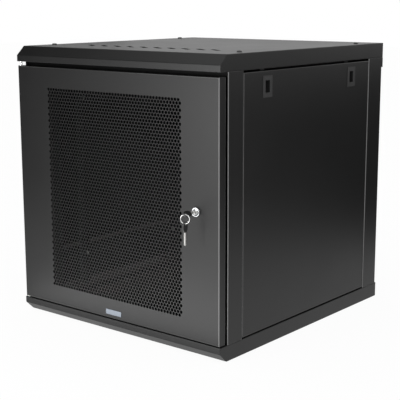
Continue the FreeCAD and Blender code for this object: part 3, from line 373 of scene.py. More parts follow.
def soft_rubber(name, level):
    """Extruded rubber: dull, with a slight bloom and fine drag lines."""
    finish = Finish(name, Specular_IOR_Level=0.3)
    bloom = finish.noise(90.0, 4.0, 0.6)
    lines = finish.noise(500.0, 2.0, 0.5, (0.08, 1, 1))
    finish.feed(
        Base_Color=finish.shade(bloom, grey(level * 0.8), grey(level * 1.5)),
        Roughness=0.72 + bloom * 0.14,
        Normal=finish.bump(lines, 0.04 * MM, finish.fold(0.5 * MM)[0]),
    )
    return finish.material


def plated_metal(name, colour, rough, grain, stretch=(1, 1, 1), depth=0.004 * MM, stain_and_painted_reflection=0.25, fold=0.3 * MM):
    """Bare or plated metal: a grain along its working direction, and clouds in the plating. Where the clouds
    are strong, as on the lock's chrome, their dark and light patches are painted reflection.
    """
    finish = Finish(name, Metallic=1.0)
    clouds = finish.noise(140.0, 3.0, 0.6)
    lines = finish.noise(grain, 3.0, 0.6, stretch)
    soft, lean = finish.fold(fold)
    # The stain darkens the clouds. On most metals this is a real stain; on the lock's chrome it is painted
    # reflection.
    dark = tuple(part * (1 - stain_and_painted_reflection) for part in colour)
    finish.feed(
        Base_Color=finish.shade(clouds * 0.6 + lines * 0.4, dark, colour),
        Roughness=rough + lines * 0.10 + clouds * 0.06 - lean * 0.05,
        Normal=finish.bump(lines, depth, soft),
    )
    return finish.material


def nylon(name):
    """Milky nylon with a faint flow pattern."""
    finish = Finish(name, Subsurface_Weight=0.1)
    flow = finish.noise(300.0, 2.0, 0.5, (1, 1, 0.3))
    finish.feed(
        Base_Color=finish.shade(flow, (0.62, 0.60, 0.54), (0.78, 0.76, 0.70)),
        Roughness=0.45 + flow * 0.1,
        Normal=finish.bump(flow, 0.01 * MM, finish.fold(0.4 * MM)[0]),
    )
    return finish.material


def shrunk(low, high, by):
    """A box with every side moved inward."""
    return [side + by for side in low], [side - by for side in high]


def door_box():
    """The door skin's box, its foot brought nearer to the base pan."""
    low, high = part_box("door_skin")
    return Vector((low.x, low.y, low.z - 1.5 * MM)), high


front_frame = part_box("front_header")[0].y - 2 * SHEET
# case_inside and door_inside are the boxes whose faces get painted shade, for the darkness inside the case
# and behind the door.
case_inside = shrunk((left, front_frame, floor_level), (right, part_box("rear_panel")[1].y, top), SHEET * 0.8)
door_inside = shrunk(*door_box(), SHEET / 2)

FINISHES = {
    "cabinet_black": powder_coat("cabinet_black", 0.004, case_inside),
    "door_black": powder_coat("door_black", 0.004, door_inside, 0.3 * MM),
    "rail_black": powder_coat("rail_black", 0.004, case_inside, 0.6 * MM),
    "badge": plated_metal(
        "badge", (0.20, 0.22, 0.25), 0.40, 2200.0, (0.04, 1, 1), 0.003 * MM, stain_and_painted_reflection=0.12, fold=0.4 * MM
    ),
    "trim_rubber": soft_rubber("trim_rubber", 0.018),
    "latch_housing": moulded_plastic("latch_housing", 0.018, 0.48),
    "latch_bolt": moulded_plastic("latch_bolt", 0.006, 0.55),
    # The chrome's strong dark and light clouds are painted reflection.
    "lock_chrome": plated_metal(
        "lock_chrome", (0.66, 0.67, 0.68), 0.08, 1800.0, depth=0.0006 * MM, stain_and_painted_reflection=0.70
    ),
    # The zinc's colour is kept far darker than bare zinc: painted shade for the parts that sit in the dark
    # inside the case.
    "zinc_plate": plated_metal("zinc_plate", (0.16, 0.16, 0.155), 0.36, 700.0),
    "key_steel": plated_metal(
        "key_steel", (0.78, 0.77, 0.74), 0.22, 2400.0, (1, 0.06, 0.06), 0.003 * MM, stain_and_painted_reflection=0.12
    ),
    "key_plastic": moulded_plastic("key_plastic", 0.012, 0.38, 1800.0, 0.3 * MM),
    "key_wire": plated_metal("key_wire", (0.80, 0.80, 0.79), 0.16, 1500.0, depth=0.002 * MM, stain_and_painted_reflection=0.1),
    "pin_steel": plated_metal("pin_steel", (0.70, 0.70, 0.69), 0.20, 1500.0, (1, 1, 0.1), 0.002 * MM, 0.12),
    "washer_nylon": nylon("washer_nylon"),
    "screw_black": moulded_plastic("screw_black", 0.020, 0.34, 900.0, 0.4 * MM),
}


def dress_frame():
    """Every carried-over node takes its slot's finish."""
    slots = {row["node"]: row["material_slot"] for row in frame["record"]["subparts"]}
    for name, node in frame["nodes"].items():
        node.data.materials.clear()
        node.data.materials.append(FINISHES[slots[name]])


# ---------------------------------------------------------------- the door


def brick_field(x0, z0, pitch, rise, columns, rows, radius, hole_sides):
    """Staggered round holes as a wall of bricks.

    Each brick is pitch wide and rise high with a hole in its middle, and every second row is moved by half
    a pitch. One brick is cut once and repeated as an array. Half bricks without a hole square off the ends.
    """
    half, up = pitch / 2, rise / 2
    border = [(-half, -up), (0, -up), (half, -up), (half, up), (0, up), (-half, up)]
    flat, faces = cut_sheet(border, [circle(0, 0, radius, hole_sides)])
    row, column = np.meshgrid(np.arange(rows), np.arange(columns), indexing="ij")
    shift = np.where(row % 2 == 1, half, 0)
    centre = np.stack([x0 + half + column * pitch + shift, z0 + up + row * rise], 2).reshape(-1, 1, 2)
    points = (flat[None] + centre).reshape(-1, 2)
    faces = (faces[None] + np.arange(rows * columns)[:, None, None] * len(flat)).reshape(-1, 3)
    level = np.arange(rows)
    end = np.where(level % 2 == 1, x0, x0 + columns * pitch)
    low = z0 + level * rise
    sides = np.array([(0, 0), (half, 0), (half, rise), (0, rise)])
    quad = (np.stack([end, low], 1)[:, None] + sides).reshape(-1, 2)
    quads = np.arange(len(quad)).reshape(-1, 4) + len(points)
    points = np.concatenate([points, quad])
    first, place = distinct(points)
    return points[first], as_faces(place[faces]) + as_faces(place[quads])


def pressed_tray(flat, faces, corners, bend, back, lip):
    """A flat sheet and its folded edge, as points of (across, up, depth behind the sheet).

    The fold is a profile of outward distance against depth, carried round the sheet's four corners: a
    narrow flat, a quarter circle and the side wall, then with a lip a second quarter circle and the return.
    Narrow flats beside each bend keep its shading off the wide faces.
    """
    sheet_outer = np.column_stack([flat, np.zeros(len(flat))])

    def profile(radius, wall):
        """Outward distance and depth of the fold. wall is how far the surface lies inside the outer one."""
        bow = np.linspace(0, math.pi / 2, 6)
        out = FLAT + radius
        first = np.stack([FLAT + radius * np.sin(bow), bend - radius * np.cos(bow)], 1)
        first = np.concatenate([[(0, wall)], first, [(out, bend + FLAT)]])
        if not lip:
            return np.concatenate([first, [(out, back)]])
        second = np.stack([FLAT + radius * np.cos(bow), back - bend + radius * np.sin(bow)], 1)
        rim = [(0, back - wall), (-lip, back - wall)]
        return np.concatenate([first, [(out, back - bend - FLAT)], second, rim])

    def carried(section):
        """The profile carried round the four corners."""
        outward = np.array([(-1, -1), (1, -1), (1, 1), (-1, 1)])
        places = corners[None] + section[:, :1, None] * outward[None]
        depth = np.broadcast_to(section[:, 1:], places.shape[:2])
        return np.stack([places[..., 0], places[..., 1], depth], 2).reshape(-1, 3)

    outer_fold, inner_fold = carried(profile(bend, 0)), carried(profile(bend - SHEET, SHEET))
    fold_faces = as_faces(grid_faces(len(outer_fold) // 4, 4, True)[:, ::-1])
    outer, faces = joined((sheet_outer, faces), (outer_fold, fold_faces))
    inner = np.concatenate([sheet_outer + (0, 0, SHEET), inner_fold])
    first, place = distinct(outer)
    return thickened(outer[first], inner[first], renumbered(faces, place))


def perforated_door():
    """The door pan: a pressed tray whose sheet has the punched field and the lock's hole."""
    low, high = door_box()
    bend, back, lip, lock_radius = 2.0 * MM, high.y - low.y, 13 * MM, 9.1 * MM
    edge = bend + FLAT
    x0, x1, z0, z1 = low.x + edge, high.x - edge, low.z + edge, high.z - edge
    pitch, rise, columns, rows, hole_radius = 8.4 * MM, 7.12 * MM, 47, 65, 3.72 * MM
    middle_x, middle_z = -0.3 * MM, 313.3 * MM
    field_x = middle_x - (columns + 0.5) * pitch / 2
    field_z = middle_z - rows * rise / 2
    field = brick_field(field_x, field_z, pitch, rise, columns, rows, hole_radius, 10)

    across = field_x + np.arange(2 * columns + 2) * pitch / 2
    up = field_z + np.arange(rows + 1) * rise
    loop = np.concatenate(
        [
            np.stack([across, np.full(len(across), up[0])], 1),
            np.stack([np.full(len(up) - 1, across[-1]), up[1:]], 1),
            np.stack([across[-2::-1], np.full(len(across) - 1, up[-1])], 1),
            np.stack([np.full(len(up) - 2, across[0]), up[-2:0:-1]], 1),
        ]
    )
    corners = np.array([(x0, z0), (x1, z0), (x1, z1), (x0, z1)])
    lock = circle(*lock_centre(), lock_radius, 32)
    around = cut_sheet(corners, [loop, lock])
    flat, faces = joined(field, (around[0], as_faces(around[1])))
    points, faces = pressed_tray(flat, faces, corners, bend, back, lip)
    points = points[:, [0, 2, 1]] + (0, low.y, 0)
    return piece("perforated_door", points, faces, "door", "door_black", ("door_skin",))


def side_panels():
    """The two side panels: a plain tray with the latch cut-outs, and two hooks for the base pan."""
    window_lap, bend, back = 2.5 * MM, 1.6 * MM, 10 * MM
    top_gap, bottom_gap = 4.5 * MM, 2.4 * MM
    hook_gauge, hook_half, shelf_half = 1.5 * MM, 10 * MM, 15 * MM
    edge = bend + FLAT
    low_z, high_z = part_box("base_cap")[1].z + bottom_gap + edge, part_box("top_cap")[0].z - top_gap - edge
    for side, name in ((-1, "left"), (1, "right")):
        low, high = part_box("side_panel_" + name)
        face, hook = (high.x, low.x) if side > 0 else (low.x, high.x)
        y0, y1 = sorted((side * (low.y + edge), side * (high.y - edge)))
        corners = rectangle(y0, y1, low_z, high_z)
        windows, parts = [], []
        for end in ("front", "rear"):
            bezel_low, bezel_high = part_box("latch_bezel_%s_%s" % (end, name))
            across = sorted((side * (bezel_low.y + window_lap), side * (bezel_high.y - window_lap)))
            windows.append(rectangle(*across, bezel_low.z + window_lap, bezel_high.z - window_lap))
            middle = (bezel_low.y + bezel_high.y) / 2
            shelf_end = face - side * (back - SHEET)
            foot = low_z - edge
            hook_end = hook + side * hook_gauge
            shelf = (hook, middle - shelf_half, foot), (shelf_end, middle + shelf_half, foot + SHEET)
            tongue = (hook, middle - hook_half, low.z), (hook_end, middle + hook_half, foot)
            parts += [block(*shelf), block(*tongue)]
        flat, faces = cut_sheet(corners, windows)
        points, faces = pressed_tray(flat, as_faces(faces), corners, bend, back, 0)
        points = np.stack([face - side * points[:, 2], side * points[:, 0], points[:, 1]], 1)
        made = joined((points, faces), *parts)
        piece("panel_" + name, *made, "side_panel_" + name, "cabinet_black", ("side_panel_" + name,))


def block(corner, other):
    """A closed box between two corners."""
    low, high = np.minimum(corner, other), np.maximum(corner, other)
    picks = np.array([(x, y, z) for z in (0, 1) for y in (0, 1) for x in (0, 1)])
    points = low + picks * (high - low)
    return points, [(0, 2, 3, 1), (4, 5, 7, 6), (0, 1, 5, 4), (2, 6, 7, 3), (0, 4, 6, 2), (1, 3, 7, 5)]


# ---------------------------------------------------------------- the top and base pans


def folded_pan(name, node, closed, opened, run, rise_of_bevel, face_holes, rim_holes):
    """A pan with a bevelled front: a side outline carried across the width, closed by its two sides.

    closed and opened are the heights of its face and of its rim, which are flat sheets with their holes
    cut out. run and rise_of_bevel are the bevel's size. A bevel modifier rounds the folds.
    """
    up = 1 if closed > opened else -1
    nose = closed - up * rise_of_bevel
    ring = np.array([(front, opened), (front, nose), (front + run, closed), (rear, closed), (rear, opened)])
    slope = SHEET * 0.62  # where the inner faces meet at the bevel's obtuse corners
    hollow = np.array(
        [
            (front + SHEET, opened + up * SHEET),
            (front + SHEET, nose - up * slope),
            (front + run + slope, closed - up * SHEET),
            (rear - SHEET, closed - up * SHEET),
            (rear - SHEET, opened + up * SHEET),
        ]
    )

    def wall(outline, half):
        one = [np.stack([np.full(len(outline), side * half), *outline.T], 1) for side in (-1, 1)]
        return np.concatenate(one)

    outer, inner = wall(ring, right), wall(hollow, right - SHEET)
    faces = [(0, 1, 6, 5), (1, 2, 7, 6), (3, 4, 9, 8), (4, 3, 2, 1, 0), (5, 6, 7, 8, 9)]
    if up > 0:
        faces = [face[::-1] for face in faces]

    # The holes lie in a sheet inside a plain frame, which keeps the folds' corners simple.
    frame_width = 12 * MM
    parts_outer, parts_inner = [outer], [inner]
    start = len(outer)
    for level, step, ya, yb, holes, corners in (
        (closed, -up * SHEET, front + run, rear, face_holes, (2, 7, 8, 3)),
        (opened, up * SHEET, front, rear, rim_holes, (0, 5, 9, 4)),
    ):
        border = rectangle(left + frame_width, right - frame_width, ya + frame_width, yb - frame_width)
        flat, cut = cut_sheet(border, holes)
        points = np.stack([flat[:, 0], flat[:, 1], np.full(len(flat), level)], 1)
        parts_outer.append(points)
        parts_inner.append(points + (0, 0, step))
        near = [start + int(np.argmin(((flat - corner) ** 2).sum(1))) for corner in border]
        cut = cut + start
        quads = [(corners[i], corners[(i + 1) % 4], near[(i + 1) % 4], near[i]) for i in range(4)]
        upward = level == max(closed, opened)
        some = as_faces(cut) + quads
        faces += some if upward else [face[::-1] for face in some]
        start += len(flat)
    points, faces = thickened(np.concatenate(parts_outer), np.concatenate(parts_inner), faces)
    made = piece(name, points, faces, "frame", "cabinet_black", (node,))
    mark_folds(made, len(outer))
    return made


def mark_folds(made, count):
    """Weights the outer folds, the edges between the first count points, for the bevel that rounds them."""
    mesh = made.data
    ends = np.zeros(len(mesh.edges) * 2, int)
    mesh.edges.foreach_get("vertices", ends)
    ends = ends.reshape(-1, 2)
    weight = (ends < count).all(1).astype(np.float32)
    layer = mesh.attributes.new("bevel_weight_edge", "FLOAT", "EDGE")
    layer.data.foreach_set("value", weight)
    bevel = made.modifiers.new("folds", "BEVEL")
    bevel.limit_method = "WEIGHT"
    bevel.width = 1.3 * MM
    bevel.segments = 3
    bevel.use_clamp_overlap = True
    bevel.harden_normals = True


def slot_loop(x, y, length, width, turn, steps=6):
    """A slot with round ends, turned about its middle."""
    half = length / 2 - width / 2
    bow = np.linspace(-math.pi / 2, math.pi / 2, steps + 1)
    end = np.stack([half + width / 2 * np.cos(bow), width / 2 * np.sin(bow)], 1)
    loop = np.concatenate([end, -end])
    c, s = math.cos(turn), math.sin(turn)
    return loop @ np.array([[c, s], [-s, c]]) + (x, y)


def rectangle(x0, x1, y0, y1):
    return np.array([(x0, y0), (x1, y0), (x1, y1), (x0, y1)])


def pans():
    """The top pan with its vents, screw holes and latch slots, and the base pan with its hatch and slots."""
    run, rise = 22 * MM, 20.7 * MM
    rim = 50 * MM
    opening = rectangle(left + rim, right - rim, front + rim, rear - rim)
    vent_count, vent_pitch, vent_y = 10, 41 * MM, front + 130 * MM
    vent_size, vent_turn = (54 * MM, 11 * MM), math.radians(-35)
    vent_x = (np.arange(vent_count) - (vent_count - 1) / 2) * vent_pitch
    vents = [slot_loop(x, vent_y, *vent_size, vent_turn) for x in vent_x.tolist()]
    screw_radius = 2.6 * MM
    screws = [circle(*place, screw_radius, 16) for place in screw_places()]
    slot_outer, slot_inner, slot_half = 286.5 * MM, 282.5 * MM, 8 * MM
    hook_inner, hook_half = 280.0 * MM, 11 * MM
    slots, hooks = [], []
    for side in (-1, 1):
        for end in ("front", "rear"):
            name = "latch_slider_%s_%s" % (end, "right" if side > 0 else "left")
            low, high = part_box(name)
            middle = (low.y + high.y) / 2
            across = sorted((side * slot_inner, side * slot_outer))
            slots.append(rectangle(*across, middle - slot_half, middle + slot_half))
            across = sorted((side * hook_inner, side * slot_outer))
            hooks.append(rectangle(*across, middle - hook_half, middle + hook_half))
    top_rim, base_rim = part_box("top_cap")[0].z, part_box("base_cap")[1].z
    folded_pan("top_pan", "top_cap", top, top_rim, run, rise, vents + screws, [opening] + slots)
    hatch_low, hatch_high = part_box("hatch_cover")
    lap = 15 * MM
    hatch = rectangle(hatch_low.x + lap, hatch_high.x - lap, hatch_low.y + lap, hatch_high.y - lap)
    folded_pan("base_pan", "base_cap", floor_level, base_rim, run, rise, [hatch], [opening] + hooks)


# ---------------------------------------------------------------- screws, badge, lock and keys


def screw_places():
    low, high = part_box("cap_screws")
    reach = 4.66 * MM
    return [(x, y) for y in (low.y + reach, high.y - reach) for x in (low.x + reach, high.x - reach)]


def cross_screws():
    """Pan heads with a cross recess: a grid of radius and angle whose height is a dome less the cross."""
    low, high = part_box("cap_screws")
    rise, head, shank = high.z - top, 5.6 * MM, 2.5 * MM
    cross_depth, cross_share, arm_half, arm_blur = 1.3 * MM, 0.62, 0.45 * MM, 0.07 * MM
    rows, columns = 26, 48
    share = np.linspace(0, 1, rows)[:, None]
    angle = (np.arange(columns) / columns * TURN)[None]
    radius = head * share
    dome = rise * np.sqrt(np.clip(1 - 0.80 * share**8, 0, 1))
    x, y = radius * np.cos(angle), radius * np.sin(angle)
    arm = np.minimum(np.abs(x), np.abs(y))
    depth = cross_depth * np.clip(1 - share / cross_share, 0, 1) ** 0.6 + 0 * angle
    groove = depth / (1 + np.exp(np.clip((arm - arm_half) / arm_blur, -40, 40)))
    crown = np.stack([x, y, dome - groove], 2).reshape(-1, 3)
    skirt = np.array([(head, 0.0), (shank, 0.0), (shank, low.z - top)])
    ring = np.stack([np.cos(angle[0]), np.sin(angle[0]), np.ones(columns)], 1)
    around = (skirt[:, [0, 0, 1]][:, None] * ring).reshape(-1, 3)
    one = np.concatenate([crown, around])
    count = rows + len(skirt)
    one_faces = grid_faces(count, columns, True)[:, ::-1]
    places = np.array([(x, y, top) for x, y in screw_places()])
    points = (one[None] + places[:, None]).reshape(-1, 3)
    step = np.arange(len(places)) * len(one)
    faces = as_faces((one_faces[None] + step[:, None, None]).reshape(-1, 4))
    faces += [tuple(range(s + (count - 1) * columns, s + count * columns))[::-1] for s in step.tolist()]
    first, place = distinct(points)
    faces = [tuple(dict.fromkeys(face)) for face in renumbered(faces, place)]
    faces = [face for face in faces if len(face) > 2]
    return piece("cross_screws", points[first], faces, "frame", "screw_black", ("cap_screws",), 50)


def badge():
    """A bare plate: a rounded outline carried through a rounded edge, with a flat face."""
    low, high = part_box("badge_plate")
    half_x, half_z = (high.x - low.x) / 2, (high.z - low.z) / 2
    depth = high.y - low.y
    edge, corner, flat_margin = 0.35 * MM, 1.2 * MM, 0.5 * MM
    bow = np.linspace(0, math.pi / 2, 5)
    inset = np.concatenate([[0], edge * (1 - np.sin(math.pi / 2 - bow)), [edge + flat_margin]])
    level = np.concatenate([[depth], edge * (1 - np.sin(bow)), [0.0]])
    loops = []
    for i, y in zip(inset, level):
        loop = rounded_loop(half_x - i, half_z - i, corner, 5)
        loops.append(np.stack([loop[:, 0], np.full(len(loop), y), loop[:, 1]], 1))
    count = len(loops[0])
    points = np.concatenate(loops) + ((low.x + high.x) / 2, low.y, (low.z + high.z) / 2)
    faces = as_faces(grid_faces(len(loops), count, True))
    faces.append(tuple(range(count)))
    faces.append(tuple(range((len(loops) - 1) * count, len(loops) * count))[::-1])
    return piece("badge_bare", points, faces, "door", "badge", ("badge_plate",))


def lock_centre():
    low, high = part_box("lock_body")
    return (low.x + high.x) / 2, (low.z + high.z) / 2


def lock_rose():
    """The lock's body, turned: a dished front ring, and a barrel whose thread is a row of small ridges."""
    low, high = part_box("lock_body")
    x, z = lock_centre()
    bore, flange, barrel, sides = 6.58 * MM, 10.5 * MM, 9.0 * MM, 64
    dish, chamfer, lip, flange_depth, edge = 1.1 * MM, 0.25 * MM, 2.0 * MM, 5.0 * MM, 0.2 * MM
    front_ring = [(bore, dish), (bore + chamfer, dish - chamfer), (flange - lip, 0.0)]
    bow = np.linspace(0, math.pi / 2, 7)[1:]
    front_ring += [(flange - lip + lip * math.sin(b), lip * (1 - math.cos(b))) for b in bow]
    front_ring += [(flange, flange_depth - edge), (flange - edge, flange_depth), (barrel, flange_depth)]
    ridge, ridge_depth, run_in, run_out, end = 1.0 * MM, 0.45 * MM, 1.9 * MM, 0.4 * MM, high.y - low.y
    start = flange_depth + run_in
    turns = int((end - run_out - start) / ridge)
    root = barrel - ridge_depth
    thread = []
    for i in range(turns):
        thread += [(root, start + i * ridge), (barrel, start + (i + 0.5) * ridge)]
    tail = [(root, start + turns * ridge), (barrel - 0.6 * MM, end), (bore, end)]
    profile = front_ring + thread + tail
    points, faces = turned(profile, sides, (x, low.y, z))
    last = (len(profile) - 1) * sides
    faces += [(last + i, last + (i + 1) % sides, (i + 1) % sides, i) for i in range(sides)]
    return piece("lock_rose", points, faces, "door", "lock_chrome", ("lock_body",), 30)


def lock_core():
    """The turning core: a crowned face cut by the keyway, a plain barrel, and the drive through the cam."""
    low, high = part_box("lock_plug")
    x, z = lock_centre()
    radius, crown, slot_depth = (high.x - low.x) / 2, 0.6 * MM, 15.5 * MM
    half_x, half_z, drive_radius = 3.9 * MM, 1.3 * MM, 3.4 * MM
    c, s = math.cos(KEY_TILT), math.sin(KEY_TILT)
    keyway = rectangle(-half_x, half_x, -half_z, half_z) @ np.array([[c, -s], [s, c]])
    crown_rings = [circle(0, 0, 4.7 * MM, 24), circle(0, 0, 5.6 * MM, 36)]
    flat, faces = cut_sheet(circle(0, 0, radius, 48), [keyway], crown_rings)
    depth = crown * (flat**2).sum(1) / radius**2
    face = np.stack([flat[:, 0], depth, flat[:, 1]], 1)
    back = np.stack([flat[:, 0], np.full(len(flat), slot_depth), flat[:, 1]], 1)
    points, faces = thickened(face, back, as_faces(faces))
    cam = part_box("lock_cam")[0].y - low.y
    plug = (points + (x, low.y, z), faces)
    barrel = turned([(radius, slot_depth), (radius, cam)], 48, (x, low.y, z), ends=True)
    drive = turned([(drive_radius, cam), (drive_radius, high.y - low.y)], 16, (x, low.y, z), ends=True)
    return piece("lock_core", *joined(plug, barrel, drive), "lock_core", "lock_chrome", ("lock_plug",), 30)


def split_ring():
    """Two turns of flat wire: a round-cornered section carried along a short helix that steps over once."""
    low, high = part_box("key_ring")
    centre = (low + high) / 2
    radius, wide, half_gauge, corner = 9.4 * MM, 1.5 * MM, 0.36 * MM, 0.3 * MM
    steps, first_angle, turn, step_speed = 192, math.radians(200), math.radians(25), 60
    t = np.linspace(0, 1, steps)
    angle = t * 2 * TURN + first_angle
    step_over = 1 / (1 + np.exp(-(t - 0.5) * step_speed))
    shift = (step_over - 0.5) * wide / 2
    section = rounded_loop(wide / 2, half_gauge, corner, 3)
    r = radius + section[None, :, 0]
    w = shift[:, None] + section[None, :, 1]
    local = np.stack([r * np.cos(angle)[:, None], w, r * np.sin(angle)[:, None]], 2).reshape(-1, 3)
    c, s = math.cos(turn), math.sin(turn)
    spin = np.array([[c, -s, 0], [s, c, 0], [0, 0, 1]])
    points = local @ spin.T + centre
    count = len(section)
    faces = as_faces(grid_faces(steps, count, True))
    faces.append(tuple(range(count))[::-1])
    faces.append(tuple(range((steps - 1) * count, steps * count)))
    return piece("split_ring", points, faces, "ring", "key_wire", ("key_ring",), 50)


def grip_shape(place):
    """A moulded key grip: an egg-shaped outline with an eyelet, its edges rounded off and its faces crowned.

    Local axes: length from the eyelet's end, width, thickness. place turns them into the cabinet's axes.
    """
    length, half_width, half_gauge, eye, eye_at = 23 * MM, 7.5 * MM, 1.2 * MM, 3.0 * MM, 4.0 * MM
    sides, power, narrowing, edge_share = 64, 0.8, 0.16, 0.12
    angle = np.arange(sides) / sides * TURN
    c, s = np.cos(angle), np.sin(angle)
    outline_x = length / 2 + length / 2 * np.sign(c) * np.abs(c) ** power
    taper = 1 - narrowing * (outline_x / length)
    outline_y = half_width * taper * np.sign(s) * np.abs(s) ** power
    hole_x, hole_y = eye_at + eye * c, eye * s
    rise, flat = np.linspace(0, edge_share, 4), np.linspace(0.3, 0.7, 3)
    share = np.concatenate([rise, flat, np.linspace(1 - edge_share, 1, 4)])[:, None]
    x = outline_x * (1 - share) + hole_x * share
    y = outline_y * (1 - share) + hole_y * share
    edge = np.minimum(share, 1 - share) / edge_share
    round_off = np.sqrt(np.clip(1 - (1 - np.clip(edge, 0, 1)) ** 2, 0, 1))
    z = half_gauge * (0.45 + 0.55 * round_off) + 0 * x
    top_side = np.stack([x, y, z], 2).reshape(-1, 3)
    low_side = top_side * (1, 1, -1)
    count = len(share)
    faces = grid_faces(count, sides, True)
    n = count * sides
    under = faces[:, ::-1] + n
    index = np.arange(sides)
    following = (index + 1) % sides
    outer_rim = np.stack([index, index + n, following + n, following], 1)
    last = (count - 1) * sides
    inner_rim = np.stack([last + following, last + following + n, last + index + n, last + index], 1)
    points = place(np.concatenate([top_side, low_side]))
    return points, as_faces(np.concatenate([faces, under, outer_rim, inner_rim]))


def blade_shape(place):
    """A flat key blade: a cut edge along its length, and a milled groove in both faces.

    A grid of length and width. The cut edge is a height over the length, and the groove thins the gauge.
    """
    start, end, half, gauge = 19 * MM, 50 * MM, 2.8 * MM, 0.95 * MM
    groove_at, groove_half, groove_depth, edge_share = -0.6 * MM, 0.75 * MM, 0.42 * MM, 0.06
    rows, columns = 96, 18
    t = np.linspace(0, 1, rows)[:, None]
    x = start + (end - start) * t
    cut_at = np.array([0, 38.5, 39.5, 41, 42, 43.6, 45, 46, 47.2, 50]) * MM
    cut_depth = np.array([0, 0, 1.5, 1.5, 0.4, 1.6, 1.6, 0.3, 0.2, 3.0]) * MM
    teeth = np.interp(x.ravel(), cut_at, cut_depth)[:, None]
    point = np.interp(x.ravel(), np.array([0, 48.4, 50]) * MM, np.array([0, 0, 3.0]) * MM)[:, None]
    low_edge, high_edge = -half + point, half - teeth
    s = np.linspace(0, 1, columns)[None]
    y = low_edge + (high_edge - low_edge) * s
    groove = np.exp(-(((y - groove_at) / groove_half) ** 4)) * groove_depth
    rounding = np.minimum(1, np.minimum(s, 1 - s) / edge_share)
    z = (gauge - groove) * (0.7 + 0.3 * rounding) + 0 * x
    upper = np.stack([x + 0 * y, y, z], 2).reshape(-1, 3)
    lower = upper * (1, 1, -1)
    n = rows * columns
    over = grid_faces(rows, columns)
    place_of = np.arange(n).reshape(rows, columns)
    edge = np.concatenate([place_of[0], place_of[1:, -1], place_of[-1, -2::-1], place_of[-2:0:-1, 0]])
    following = np.roll(edge, -1)
    rim = np.stack([edge, following, following + n, edge + n], 1)
    points = place(np.concatenate([upper, lower]))
    return points, as_faces(np.concatenate([over[:, ::-1], over + n, rim]))


def key_places():
    """The start of each key, and the directions of its length, width and thickness."""
    x, z = lock_centre()
    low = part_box("key_grip")[0]
    wide = np.array([math.cos(KEY_TILT), 0, -math.sin(KEY_TILT)])
    thick = np.array([math.sin(KEY_TILT), 0, math.cos(KEY_TILT)])
    standing = (np.array([x, low.y, z]), np.array([0, 1, 0]), wide, thick)
    spare_low, spare_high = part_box("spare_key_grip")
    middle = (spare_low + spare_high) / 2
    start = np.array([middle.x, middle.y, spare_high.z])
    hanging = (start, np.array([0, 0, -1]), np.array([0, 1, 0]), np.array([1, 0, 0]))
    return standing, hanging


def keys():
    names = (("", "key"), ("spare_", "spare_key"))
    for (prefix, body), (origin, along, wide, thick) in zip(names, key_places()):

        def place(local, origin=origin, along=along, wide=wide, thick=thick):
            return origin + local @ np.stack([along, wide, thick])

        flip = np.dot(np.cross(along, wide), thick) < 0
        for shape, part, made_by, slot in (
            (grip_shape, "grip", "_moulded", "key_plastic"),
            (blade_shape, "blade", "_milled", "key_steel"),
        ):
            points, faces = shape(place)
            if flip:
                faces = [face[::-1] for face in faces]
            piece(prefix + part + made_by, points, faces, body, slot, (prefix + "key_" + part,), 40)


# ---------------------------------------------------------------- the studio


def stage_card(name, corners, finish):
    """A flat quad that belongs to the stage."""
    mesh = bpy.data.meshes.new(name)
    mesh.from_pydata(corners, [], [(0, 1, 2, 3)])
    card = linked(name, mesh)
    mesh.materials.append(finish.material)
    return card


def studio_floor():
    """A pale floor that keeps the shadow, and that the camera and gloss see nearly white."""
    half, glow_share = 12.0, 0.95
    pale = Finish("studio_floor", Roughness=0.9, Specular_IOR_Level=0.0, Base_Color=(0.85, 0.85, 0.85, 1))
    path = pale.node("LightPath", output="Is Camera Ray")
    source = path.socket.node
    gloss, glass = (Wire(pale, source.outputs["Is %s Ray" % kind]) for kind in ("Glossy", "Transmission"))
    seen = path + gloss + glass
    glow = pale.node("Emission", None, {"Color": (1, 1, 1, 1), "Strength": 1.0})
    plain = Wire(pale, pale.shader.outputs[0])
    mixed = pale.node("MixShader", None, {0: seen * glow_share, 1: plain, 2: glow})
    pale.tree.links.new(mixed.socket, pale.tree.nodes["Material Output"].inputs["Surface"])
    stage_card("studio_floor", [(-half, -half, 0), (half, -half, 0), (half, half, 0), (-half, half, 0)], pale)


def white_world():
    """An even white world, a little weaker for diffuse light than for the camera, gloss and glass."""
    world = bpy.data.worlds.new("studio")
    bpy.context.scene.world = world
    world.use_nodes = True
    tree = world.node_tree
    rays = tree.nodes.new("ShaderNodeLightPath")
    first = tree.nodes.new("ShaderNodeMath")
    second = tree.nodes.new("ShaderNodeMath")
    second.use_clamp = True
    tree.links.new(rays.outputs["Is Camera Ray"], first.inputs[0])
    tree.links.new(rays.outputs["Is Glossy Ray"], first.inputs[1])
    tree.links.new(first.outputs[0], second.inputs[0])
    tree.links.new(rays.outputs["Is Transmission Ray"], second.inputs[1])
    strength = tree.nodes.new("ShaderNodeMapRange")
    strength.inputs["To Min"].default_value = 0.9
    strength.inputs["To Max"].default_value = 1.0
    tree.links.new(second.outputs[0], strength.inputs["Value"])
    background = tree.nodes["Background"]
    background.inputs["Color"].default_value = (1, 1, 1, 1)
    tree.links.new(strength.outputs[0], background.inputs["Strength"])


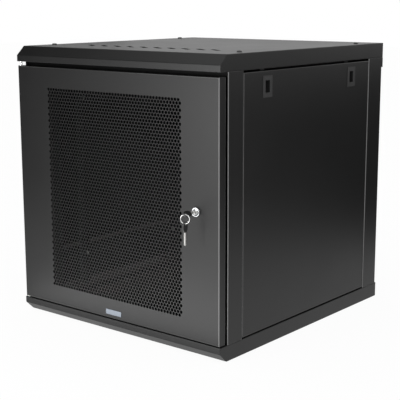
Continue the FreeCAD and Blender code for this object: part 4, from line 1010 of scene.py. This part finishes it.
def softbox(name, place, aim, wide, high, power):
    """A rectangular lamp turned towards a point."""
    light = bpy.data.lights.new(name, "AREA")
    light.shape = "RECTANGLE"
    light.size, light.size_y, light.energy = wide, high, power
    lamp = linked(name, light)
    lamp.location = place
    lamp.visible_camera = False
    lamp.rotation_euler = (Vector(aim) - Vector(place)).to_track_quat("-Z", "Y").to_euler()


def flag(name, near, far, height, shade=0.02):
    """A grey or black card that stands on the floor and that only gloss sees."""
    finish = Finish(name, Roughness=1.0, Specular_IOR_Level=0.0, Base_Color=(shade, shade, shade, 1))
    (x0, y0), (x1, y1) = near, far
    card = stage_card(name, [(x0, y0, 0), (x1, y1, 0), (x1, y1, height), (x0, y0, height)], finish)
    for ray in ("camera", "diffuse", "transmission", "volume_scatter", "shadow"):
        setattr(card, "visible_" + ray, False)


def studio():
    studio_floor()
    white_world()
    softbox("front_softbox", (-0.3, -2.0, 0.45), (0.25, -0.3, 0.35), 0.9, 0.6, 22.0)
    softbox("edge_softbox", (1.6, -1.9, 1.0), (0, 0, 0.35), 0.3, 0.3, 5.0)
    softbox("floor_softbox", (0.1, -0.58, 0.004), (0.1, -0.58, 1), 1.0, 0.35, 3.2)
    flag("dark_flag_right", (1.15, 0.2), (-0.1, 1.45), 0.58, 0.13)
    flag("dark_flag_left", (-1.0, -1.35), (-1.9, 0.7), 2.3)
    flag("grey_flag_back", (-1.75, 0.2), (-1.2, 1.0), 1.05, 0.4)


def camera():
    lens = bpy.data.cameras.new("camera")
    lens.lens, lens.sensor_width = 90.95, 36.0
    made = linked("camera", lens)
    yaw, pitch, roll = math.radians(39.36), math.radians(11.34), math.radians(-0.16)
    made.matrix_world = (
        Matrix.Translation((1.5235, -1.8741, 0.7441))
        @ Matrix.Rotation(yaw, 4, "Z")
        @ Matrix.Rotation(math.pi / 2 - pitch, 4, "X")
        @ Matrix.Rotation(roll, 4, "Z")
    )
    bpy.context.scene.camera = made


dress_frame()
perforated_door()
side_panels()
pans()
cross_screws()
badge()
lock_rose()
lock_core()
split_ring()
keys()
studio()
camera()
bpy.context.scene.view_settings.view_transform = "Standard"
